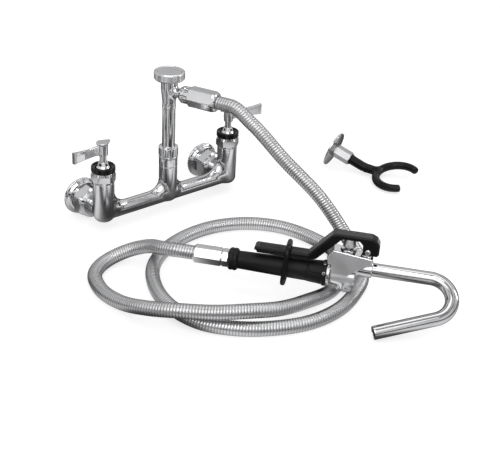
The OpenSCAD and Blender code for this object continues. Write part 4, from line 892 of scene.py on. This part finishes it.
def taper(start, end, count):
    """Points (r, z) on the straight line between two outline corners."""
    return [tuple(row) for row in np.linspace(start, end, count)]


grip_outline = [
    (8.15, -127.4), (10.2, -127.4, 0.5), *taper((10.78, -126.6), (12.7, -47), 40), (12.75, -45, 0.6),
    (8.15, -45)]
make_piece("tapered_grip", lathe(grip_outline, turns=120), GRIP, grip_rubber, "grip")


def tongue(r, z, t):
    """r + 0.75 smooth step(off) - 0.3 exp(-((off - 0.9) / 0.7)^2), only on the outside.

    off is the distance to a rounded tongue that points towards the two screws.
    """
    middle = np.radians(180 + sum(SCREW_ANGLES.values()) / 2)
    across = 14 * np.abs(np.angle(np.exp(1j * (t - middle))))
    off = np.hypot(across, np.minimum(z + 37.0, 0)) - 6.6
    raised = np.clip(0.5 - off / 1.2, 0, 1)
    moat = np.exp(-((off - 0.9) / 0.7) ** 2)
    outside = (r > 12) & (z < -26.2) & (z > -44.6)
    return r + outside * (0.75 * raised * raised * (3 - 2 * raised) - 0.3 * moat)


collar_outline = [
    (8.15, -45), (12.5, -45, 0.5), *taper((13.0, -44.4), (14.3, -26.9), 60), (15.5, -25.6, 0.6),
    (15.5, -22, 0.5), (8.15, -22)]
collar_shape = lathe(collar_outline, turns=168, radius=tongue)
make_piece("grip_collar", collar_shape, GRIP, grip_rubber, "front_collar")
screw_head = [(0, 9.3), (2.0, 9.3, 0.2), (2.0, 15.6, 0.4), (1.1, 16.0, 0.15), (0.9, 15.2, 0.1), (0, 15.1)]
for name, angle in SCREW_ANGLES.items():
    place = VALVE @ local((SCREW_X, 0, 0)) @ local(x=angle)
    make_piece(f"screw_{name}", lathe(screw_head, 3, 40), place, steel, f"collar_screw_{name}")
polished_ring = [
    (8.15, -22), (15.1, -22, 0.4), (15.5, -21.2, 0.7), (15.5, -18.9, 0.7), (14.9, -18, 0.4),
    (8.15, -18)]
make_piece("polished_ring", lathe(polished_ring), GRIP, chrome, "body_ring")

# %% [markdown]
# The squeeze valve has a cast body. Its two cheeks are flat, brushed to a satin face, and their
# edges were polished again afterwards, which outlines the face with a bright line. Round forms
# run into the cheeks: the barrel from the grip, the plunger's boss, and the tail that holds the
# nozzle. A lug on top takes the lever's pin.

# %% Squeeze valve body
CHEEK_HALF, LUG_HALF, LUG_RADIUS, PIN_BORE = 11.0, 6.6, 4.8, 2.1
CHEEK = [(-18, -1), (-18, 15.9), (-22, 15.9), (-23.6, 24.5), (-17, 34.6), (29, 29.6), (29, 22.6), (20, 17.6),
         (12, 12.6), (0, 3.6)]


def pin_bore(p):
    """The lever pin's hole, straight through the lug and the lever."""
    return rod(p, (PIN_X, -20, PIN_Z), (PIN_X, 20, PIN_Z), PIN_BORE)


def valve_distance(p):
    """Cheeks, barrel, boss, tail and lug melted together; chambers and water way cut."""
    x, y, z = p[..., 0], p[..., 1], p[..., 2]
    cheek = plate(p, CHEEK, CHEEK_HALF, 1.3)
    barrel = rod(p, (-18, 0, 0), (12, 0, 0), 12.0, 2.5)
    boss = rod(p, (0, 0, -13.4), (0, 0, 31.8), 9.8, 0.6)
    tail = rod(p, (0, 0, NOZZLE_Z), (TAIL_FRONT, 0, NOZZLE_Z), 10.0, 1.2)
    stalk = corner_in(np.abs(x - PIN_X) - LUG_RADIUS, np.abs(y) - LUG_HALF, 1.0)
    stalk = corner_in(stalk, np.abs(z - 30) - 7.5, 0.5)
    lug = rod(p, (PIN_X, -LUG_HALF, PIN_Z), (PIN_X, LUG_HALF, PIN_Z), LUG_RADIUS, 0.8)
    lug = np.minimum(lug, stalk)
    body = soft_union(soft_union(barrel, boss, 2.5), tail, 3.0)
    body = soft_union(body, cheek, 0.8)
    body = soft_union(body, lug, 1.2)
    for bore in (rod(p, (-30, 0, 0), (0, 0, 0), 5.0), rod(p, (0, 0, -20), (0, 0, 4), 6.6),
                 rod(p, (0, 0, 0), (0, 0, 13), 4.4), rod(p, (0, 0, 8), (0, 0, 19), 6.4),
                 rod(p, (0, 0, 10), (0, 0, 30), 3.1), rod(p, (0, 0, 24), (0, 0, 50), 5.75),
                 rod(p, (0, 0, 27), (0, 0, 50), 6.55), rod(p, (0, 0, 32), (0, 0, 60), 9.4),
                 rod(p, (0, 0, NOZZLE_Z), (40, 0, NOZZLE_Z), 7.04),
                 rod(p, (22, 0, NOZZLE_Z), (40, 0, NOZZLE_Z), 8.0), pin_bore(p)):
        body = soft_cut(body, bore, 0.25)
    return body


valve_shape = cast(valve_distance, (-25, -13, -15), (31, 13, 44), 0.62)
valve_points, _, valve_normals = valve_shape
flatness = np.abs(valve_normals[:, 1]) / np.linalg.norm(valve_normals, axis=1)
cheek_mask = np.clip((flatness - 0.93) / 0.05, 0, 1) * (np.abs(valve_points[:, 1]) > CHEEK_HALF - 0.5)
make_piece("valve_casting", valve_shape, VALVE, valve_metal, "valve_body",
           values={"cheek": cheek_mask})

# %% [markdown]
# On top of the valve a flat ring nut guides the plunger, and the plunger ends in a thimble
# that the lever pushes. A hexagon cap closes the valve from below, and a pin with two
# rounded heads carries the lever.

# %% Plunger, nut, cap and pin
ring_nut = [
    (3.05, 27.0), (6.4, 27.0), (6.4, 32.0), (8.6, 32.0, 0.3), (9.0, 32.6, 0.4), (9.0, 34.9, 0.5),
    (8.3, 35.6, 0.4), (4.2, 35.6, 0.3), (3.05, 34.6)]
make_piece("ring_nut", lathe(ring_nut), VALVE, chrome, "valve_bonnet")
thimble = [
    (0, -2.0), (4.0, -2.0, 0.3), (4.0, 0.55), (3.0, 0.6), (3.0, 38.0), (7.0, 38.0, 0.4),
    (7.6, 38.8, 0.5), (7.3, 42.0, 3.0), (6.3, 47.0, 3.0), (4.2, 50.9, 2.2), (2.0, 51.7, 1.5),
    (0, 51.7)]
make_piece("plunger_thimble", lathe(thimble), VALVE, satin_chrome, "plunger")
lower_cap = [
    (4.95, -15.2), (0.05, -15.2), (0.05, -17.2), (9.0, -17.2, 0.5), (10.2, -16.2, 0.4),
    (10.2, -13.4, 0.3), (6.55, -13.4), (6.55, -9.4), (4.95, -9.4)]
make_piece("lower_cap", hex_lathe(lower_cap, 17.6), VALVE, nut_chrome, "bottom_cap")
PIN = VALVE @ local((PIN_X, 0, PIN_Z), x=90)
pin = [
    (0, -11.2), (1.2, -11.2, 0.4), (2.2, -11.1, 0.8), (3.3, -10.4, 0.5), (3.4, -9.8, 0.1), (2.0, -9.8),
    (2.0, 9.8), (3.4, 9.8, 0.1), (3.3, 10.4, 0.5), (2.2, 11.1, 0.8), (1.2, 11.2, 0.4), (0, 11.2)]
make_piece("pin", lathe(pin, turns=64), PIN, steel, "lever_pin")

# %% [markdown]
# The lever is a channel that was cast and coated black. It lies on the grip, climbs steeply in
# front of the hand, runs flat over the plunger and comes down round the lug. Its sides are
# open beside the plunger. Slanting ridges on its rear end keep a thumb from slipping.

# %% Squeeze lever
LEVER_HALF, LEVER_WALL = 9.5, 2.5
LEVER = [
    (-109, 19.2), (-109, 22), (-107, 24), (-46, 24), (-20.4, 52.6), (-15.4, 54.5), (25.0, 54.5),
    (31.0, 51.8), (34.8, 46.6), (35, 35.4), (32.75, 32.7), (16, 32.7), (15.2, 44.5), (11.4, 48.5),
    (-8.6, 48.5), (-36, 19.0), (-45, 16.5), (-105.5, 16.5), (-106.5, 19.2)]
LEVER_HOLLOW = [
    (-106.5, 10), (-106.5, 21.5), (-44.75, 21.5), (-17.6, 52), (23.5, 52), (30, 48.7), (32.5, 43.5),
    (32.5, 20), (15, 20), (15, 10)]


def lever_distance(p):
    """Outline plate with rounded edges, its inside taken out, slanting ridges on top."""
    x, y, z = p[..., 0], p[..., 1], p[..., 2]
    shell = plate(p, LEVER, LEVER_HALF, 2.3)
    inside = plate(p, LEVER_HOLLOW, LEVER_HALF - LEVER_WALL, 0.8)
    phase = (x + 0.55 * y + 103) / 3.4
    zone = corner_in(np.abs(x + 90) - 14.0, np.abs(y) - 5.2, 1.0)
    ridge = 0.55 * (0.5 + 0.5 * np.cos(2 * np.pi * phase)) ** 2 * np.clip(-zone, 0, 1) * (z > 22)
    shell = soft_cut(shell - ridge, inside, 0.5)
    return soft_cut(shell, pin_bore(p), 0.25)


lever_shape = cast(lever_distance, (-110.5, -10.5, 15), (36.5, 10.5, 56.5), 0.72)
make_piece("lever_casting", lever_shape, VALVE, vinyl, "squeeze_lever")

# %% [markdown]
# Two pieces are bars bent in one plane. A sweep puts a circle round every point of such a path:
# one side of the circle is the plane's normal, the other is square to the path.

# %% Bent bars: the hold-open ring and the hook nozzle
def arc(centre, radius, start, end, steps):
    """Points (x, z) = centre + R (sin a, cos a), with a in degrees."""
    a = np.radians(np.linspace(start, end, steps))
    return np.stack([centre[0] + radius * np.sin(a), centre[1] + radius * np.cos(a)], 1)


def swept(path, radii, around=48, closed=False):
    """Circles of the given radii, square to a path of (x, z) points in the plane y = 0."""
    ahead = np.roll(path, -1, 0) - np.roll(path, 1, 0)
    if not closed:
        ahead[0], ahead[-1] = path[1] - path[0], path[-1] - path[-2]
    ahead /= np.linalg.norm(ahead, axis=1)[:, None]
    t = np.arange(around) * 2 * np.pi / around
    radii = np.broadcast_to(radii, len(path))[:, None]
    x = path[:, :1] + radii * np.cos(t) * -ahead[:, 1:]
    z = path[:, 1:] + radii * np.cos(t) * ahead[:, :1]
    return np.stack([x, radii * np.sin(t) + 0 * x, z], -1)


RING_X, RING_Z, RING_LEAN, RING_BAR, RING_CORNER = -70.2, 6.0, 2.65, 3.0, 11.0
hold_place = VALVE @ local((RING_X, 0, RING_Z), y=RING_LEAN) @ local(z=90)
RING_WIDTH, RING_HEIGHT, CORNER_POINTS = 38, 54, 16
bar_x, bar_z = [side / 2 - RING_BAR - RING_CORNER for side in (RING_WIDTH, RING_HEIGHT)]
loop = np.vstack([arc((sx * bar_x, sz * bar_z), RING_CORNER, a, a + 90, CORNER_POINTS)
                  for a, sx, sz in ((0, 1, 1), (90, 1, -1), (180, -1, -1), (270, -1, 1))])
loop = np.vstack([loop[k] + (loop[(k + 1) % len(loop)] - loop[k]) * f for k in range(len(loop))
                  for f in ((0, 0.25, 0.5, 0.75) if (k + 1) % CORNER_POINTS == 0 else (0,))])
ring_shape = skin(swept(loop, RING_BAR, 40, closed=True), ring=True)
make_piece("hold_open_ring", ring_shape, hold_place, vinyl, "hold_ring")

NOZZLE_RADIUS, NOZZLE_WALL, NOZZLE_RUN, NOZZLE_END = 7.94, 0.9, 67.2, 73.4
NOZZLE_BEND, NOZZLE_ANGLE = 26.7, 156.5
bend = arc((NOZZLE_RUN, -NOZZLE_BEND), NOZZLE_BEND, 0, NOZZLE_ANGLE, 96)
heading = np.array([math.cos(math.radians(NOZZLE_ANGLE)), -math.sin(math.radians(NOZZLE_ANGLE))])
entry = np.stack([np.linspace(-7.95, NOZZLE_RUN, 40)[:-1], np.zeros(39)], 1)
leave = bend[-1] + np.linspace(0, NOZZLE_END, 40)[1:, None] * heading
tube_path = np.vstack([entry, bend, leave])
tip = tube_path[-1] - np.array([[0.5], [0.15], [0.0]]) * heading
outer = np.append(np.full(len(tube_path), NOZZLE_RADIUS), [7.8, 7.55])
tube_rows = swept(np.vstack([tube_path[:-1], tip]), outer)
bore_rows = swept(tube_path, NOZZLE_RADIUS - NOZZLE_WALL)[::-1]
nozzle_shape = skin(np.vstack([tube_rows, bore_rows]), ring=True)
make_piece("nozzle_tube", nozzle_shape, NOZZLE, darkened_nozzle_chrome, "hook_nozzle")

# %% [markdown]
# The wall hook is a separate little set: a thin spun flange, a hexagon stem, and a fork of bent
# bar that was dipped in black vinyl. The dip leaves a soft bead where it ends on the stem and
# a round drop at each tip.

# %% Wall hook
disc = [
    (6.15, 0), (26.2, 0, 0.5), (27.0, 0.9, 0.6), (26.6, 2.5, 0.7), (24.8, 2.6, 0.6), (22.0, 3.2, 3.0),
    (14.0, 4.1, 5.0), (10.0, 4.5, 1.0), (6.15, 4.5, 0.3)]
make_piece("spun_flange", lathe(disc, turns=128), HOOK, chrome, "wall_hook_flange")
stem = [
    (0.05, 16.0), (3.4, 16.0), (3.4, 0.0, 0.3), (6.0, 0.0, 0.3), (6.0, 4.5), (9.2, 4.5, 0.4),
    (10.4, 5.6, 0.5), (10.4, 30.4, 0.6), (9.2, 31.5, 0.4), (0.05, 31.5)]
make_piece("hexagon_stem", hex_lathe(stem, 18.0), HOOK, satin_nickel, "wall_hook_stem")

FORK_CURVE, TINE_RADIUS, TINE_SWEEP, ARM_RADIUS = 31.0, 6.0, 122.0, 7.5
hook_axis = HOOK[:3, 2]
arm_root = carried(np.array([0, 0, 31.5]), HOOK)
to_fork = np.linalg.inv(FORK)
root_in, bead_in = carried(arm_root, to_fork), carried(arm_root + 2.6 * hook_axis, to_fork)
bend_in = carried((arm_root + np.array(FORK_PLACE)) / 2 + (0, 0, -3.2), to_fork)


def fork_distance(p):
    """A bent arm, bead and a bent tine bar melted together; distance to the arc's nearest point."""
    x, y, z = p[..., 0] - FORK_CURVE, p[..., 1], p[..., 2]
    limit = math.radians(TINE_SWEEP) - 0.03
    turn = np.arctan2(y, -x)
    near = np.clip(turn, -limit, limit)
    thin = 0.45 * np.clip((np.abs(turn) - 0.6) / 1.5, 0, 1) ** 2
    tine = np.sqrt((x + FORK_CURVE * np.cos(near)) ** 2 + (y - FORK_CURVE * np.sin(near)) ** 2 + z**2)
    tine = tine - TINE_RADIUS + thin
    cut = FORK_CURVE * np.sin(np.clip(np.abs(turn) - limit, 0, 1.2)) - 4.0
    tine = corner_in(tine, cut, 3.2)
    arm = rod(p, root_in, bend_in, ARM_RADIUS - 0.1, 1.0, end_radius=ARM_RADIUS - 0.5)
    arm = soft_union(arm, rod(p, bend_in, (0, 0, 0), ARM_RADIUS - 0.5, 1.0, end_radius=ARM_RADIUS - 0.9), 2.0)
    bead = rod(p, root_in, bead_in, ARM_RADIUS + 0.6, 1.1)
    return soft_union(soft_union(arm, bead, 0.8), tine, 5.0)


fork_low, fork_high = measured("wall_hook_fork", FORK)
fork_shape = cast(fork_distance, fork_low - 2, fork_high + 2, 0.85)
make_piece("dipped_fork", fork_shape, FORK, vinyl, "wall_hook_fork")

# %% [markdown]
# Everything else stays as the CAD made it: shanks, stems, discs, washers, set screws, the grip's
# tube, the spring and the breaker's inside. Most of it is hidden, and each node
# gets the finish that its slot stands for.

# %% Finishes for the CAD nodes
SLOT_FINISH = {
    "chrome": chrome, "satin_metal": nut_chrome, "hose_steel": hose_metal, "steel": steel, "brass": brass,
    "black_plastic": handle_plastic, "grip_rubber": grip_rubber, "black_coating": vinyl,
    "seal_rubber": seal_rubber, "ceramic": ceramic, "white_plastic": white_plastic}
for node, item in frame["nodes"].items():
    for slot in item.material_slots:
        slot.material = chrome if node.startswith("inlet_shank") else SLOT_FINISH[slot.material.name]
print("finishes given to", len(frame["nodes"]), "CAD nodes")

# %% [markdown]
# The photograph was taken on a white table under big soft lamps. The floor is pale and keeps a
# soft shadow: part of its light is its own, which only the camera and reflections see, so that
# it reads as white paper without brighter lamps. Chrome shows its surroundings, so it needs
# grey and dark tones to show as well, or it would vanish in the white. A photographer hangs
# cards around the set for that. Here they are a table card, two rings and a ceiling card, seen
# by reflections alone, and a stretched noise gives them the soft streaks of a cluttered room.

# %% Studio
FLOOR_Z, FLOOR_HALF = cad_bounds[0][2] - 0.0003, 6.0


def emitter(name, tone):
    """A plain glowing card: what a reflection of it shows is its tone."""
    material = bpy.data.materials.new(name)
    material.use_nodes = True
    tree = material.node_tree
    tree.nodes.remove(tree.nodes["Principled BSDF"])
    glow = add_node(tree, "Emission", {"Color": (*tone, 1), "Strength": 1.0})
    fill(tree, tree.nodes["Material Output"], {"Surface": glow.outputs["Emission"]})
    return material


def level_by_ray(tree, lighting, looking):
    """The looking level for camera, glossy and transmission rays, or else the lighting level."""
    path = add_node(tree, "LightPath", {})
    value = path.outputs["Is Camera Ray"]
    for other in ("Is Glossy Ray", "Is Transmission Ray"):
        either = tree.nodes.new("ShaderNodeMath")
        either.operation = "MAXIMUM"
        value = fill(tree, either, {0: value, 1: path.outputs[other]}).outputs["Value"]
    levels = {"To Min": lighting, "To Max": looking, "Value": value}
    return add_node(tree, "MapRange", levels).outputs["Result"]


def make_world():
    """White where it is seen, and dimmer where it only lights the object."""
    world = bpy.data.worlds.new("studio")
    bpy.context.scene.world = world
    world.use_nodes = True
    tree = world.node_tree
    strength = level_by_ray(tree, lighting=0.42, looking=1.0)
    fill(tree, tree.nodes["Background"], {"Color": (1, 1, 1, 1), "Strength": strength})


def stage_piece(name, points, faces, material, reflected_only=True):
    """A piece of the studio; reflected_only ones are seen by reflections alone."""
    mesh = bpy.data.meshes.new(name)
    mesh.from_pydata(points, [], faces)
    mesh.materials.append(material)
    card = add_object(name, mesh)
    if reflected_only:
        card.visible_camera = card.visible_diffuse = card.visible_shadow = card.visible_transmission = False


def level_card(name, centre, half, z, material, reflected_only=True):
    """A level square card with the given half width."""
    x, y = centre[:2]
    corners = [(x + a * half, y + b * half, z) for a, b in ((-1, -1), (1, -1), (1, 1), (-1, 1))]
    stage_piece(name, corners, [(0, 1, 2, 3)], material, reflected_only)


def make_floor():
    """Paper: a diffuse part that keeps the shadow, and a glow that rays see directly."""
    material = bpy.data.materials.new("paper")
    material.use_nodes = True
    tree = material.node_tree
    fill(tree, tree.nodes["Principled BSDF"], {
        "Base Color": (0.5, 0.5, 0.5, 1), "Roughness": 0.9, "Specular IOR Level": 0.0,
        "Emission Color": (1, 1, 1, 1), "Emission Strength": level_by_ray(tree, lighting=0.0, looking=0.70)})
    level_card("floor", (0, 0), FLOOR_HALF, FLOOR_Z, material, reflected_only=False)


def softbox(name, place, aim, width, height, power):
    """A rectangular lamp at place that faces aim."""
    data = bpy.data.lights.new(name, "AREA")
    data.shape, data.size, data.size_y, data.energy = "RECTANGLE", width, height, power
    back = np.array(place, float) - np.array(aim, float)
    back /= np.linalg.norm(back)
    right = np.cross([0, 0, 1.0], back)
    right /= np.linalg.norm(right)
    add_object(name, data).matrix_world = from_axes(right, np.cross(back, right), back, place)


make_world()
make_floor()
CENTRE = np.array([0.06, -0.22, 0.05])
softbox("key", CENTRE + (-1.3, -0.9, 1.5), CENTRE, 2.2, 1.7, 13)
softbox("top", CENTRE + (0.2, 0.3, 1.9), CENTRE, 1.6, 1.0, 6)
softbox("strip", CENTRE + (-0.5, -0.9, 1.4), CENTRE, 0.10, 1.3, 3)
softbox("fill", CENTRE + (1.5, -0.8, 0.9), CENTRE, 0.16, 1.3, 5)


def pattern_tone(name, scale, stretch, stops):
    """A glowing stage material whose tone is a stretched noise, sent through a ramp of stops."""
    material = emitter(name, (0.5, 0.5, 0.5))
    tree = material.node_tree
    place = add_node(tree, "Mapping", {
        "Vector": add_node(tree, "TexCoord", {}).outputs["Object"], "Location": (0.5, 0.2, 0),
        "Rotation": (0, 0, math.radians(42)), "Scale": stretch})
    ramp = add_node(tree, "ValToRGB", {"Fac": noise(tree, scale, 1.5, 0.4, place.outputs["Vector"])})
    elements = ramp.color_ramp.elements
    elements[0].position, elements[1].position = stops[0][0], stops[-1][0]
    for position, _ in stops[1:-1]:
        elements.new(position)
    for element, (_, tone) in zip(elements, stops):
        element.color = (tone, tone, tone * 1.01, 1)
    fill(tree, tree.nodes["Emission"], {"Color": ramp.outputs["Color"]})
    return material


def ring_wall(name, radius, low, high, material, sides=64):
    """An upright ring around the set: corner k at (R cos, R sin) of k 360 / sides degrees."""
    t = np.arange(sides) * 2 * np.pi / sides
    rows = [np.stack([CENTRE[0] + radius * np.cos(t), CENTRE[1] + radius * np.sin(t), z + 0 * t], 1)
            for z in (low, high)]
    k = np.arange(sides)
    faces = np.stack([k, (k + 1) % sides, (k + 1) % sides + sides, k + sides], 1)
    stage_piece(name, np.vstack(rows).tolist(), faces.tolist(), material)


CARD_HALF, CARD_Z, CEILING_HALF, CEILING_Z = 0.95, FLOOR_Z + 0.0004, 2.4, 2.3
RING_RADIUS, RING_STEP, DARK_TOP = 2.2, 0.05, FLOOR_Z + 0.42
table_tones = pattern_tone("table_tones", 3.6, (0.7, 2.4, 1.0), [
    (0.36, 0.05), (0.44, 0.14), (0.50, 0.36), (0.56, 0.68), (0.64, 0.95)])
room_tones = pattern_tone("room_tones", 1.3, (1.0, 1.0, 0.6), [(0.36, 0.55), (0.48, 0.72), (0.60, 0.88)])
ceiling_tones = pattern_tone("ceiling_tones", 1.5, (0.6, 2.2, 1.0), [
    (0.38, 0.08), (0.46, 0.34), (0.54, 0.62), (0.64, 0.86)])
level_card("card_table", CENTRE, CARD_HALF, CARD_Z, table_tones)
ring_wall("ring_low", RING_RADIUS, FLOOR_Z, DARK_TOP, emitter("dark_card", (0.04, 0.04, 0.04)))
ring_wall("ring_high", RING_RADIUS + RING_STEP, DARK_TOP, CEILING_Z, room_tones)
level_card("card_ceiling", CENTRE, CEILING_HALF, CEILING_Z, ceiling_tones)
print("floor at", round(FLOOR_Z * 1000, 2), "mm")

# %% [markdown]
# Last the view transform is set to Standard, and the CAD's box is printed.

# %% CAD box
scene = bpy.context.scene
scene.view_settings.view_transform = "Standard"


def plain(box):
    """A pair of corners as plain lists of numbers."""
    return [[float(v) for v in corner] for corner in box]


print("CAD box", plain(cad_bounds))
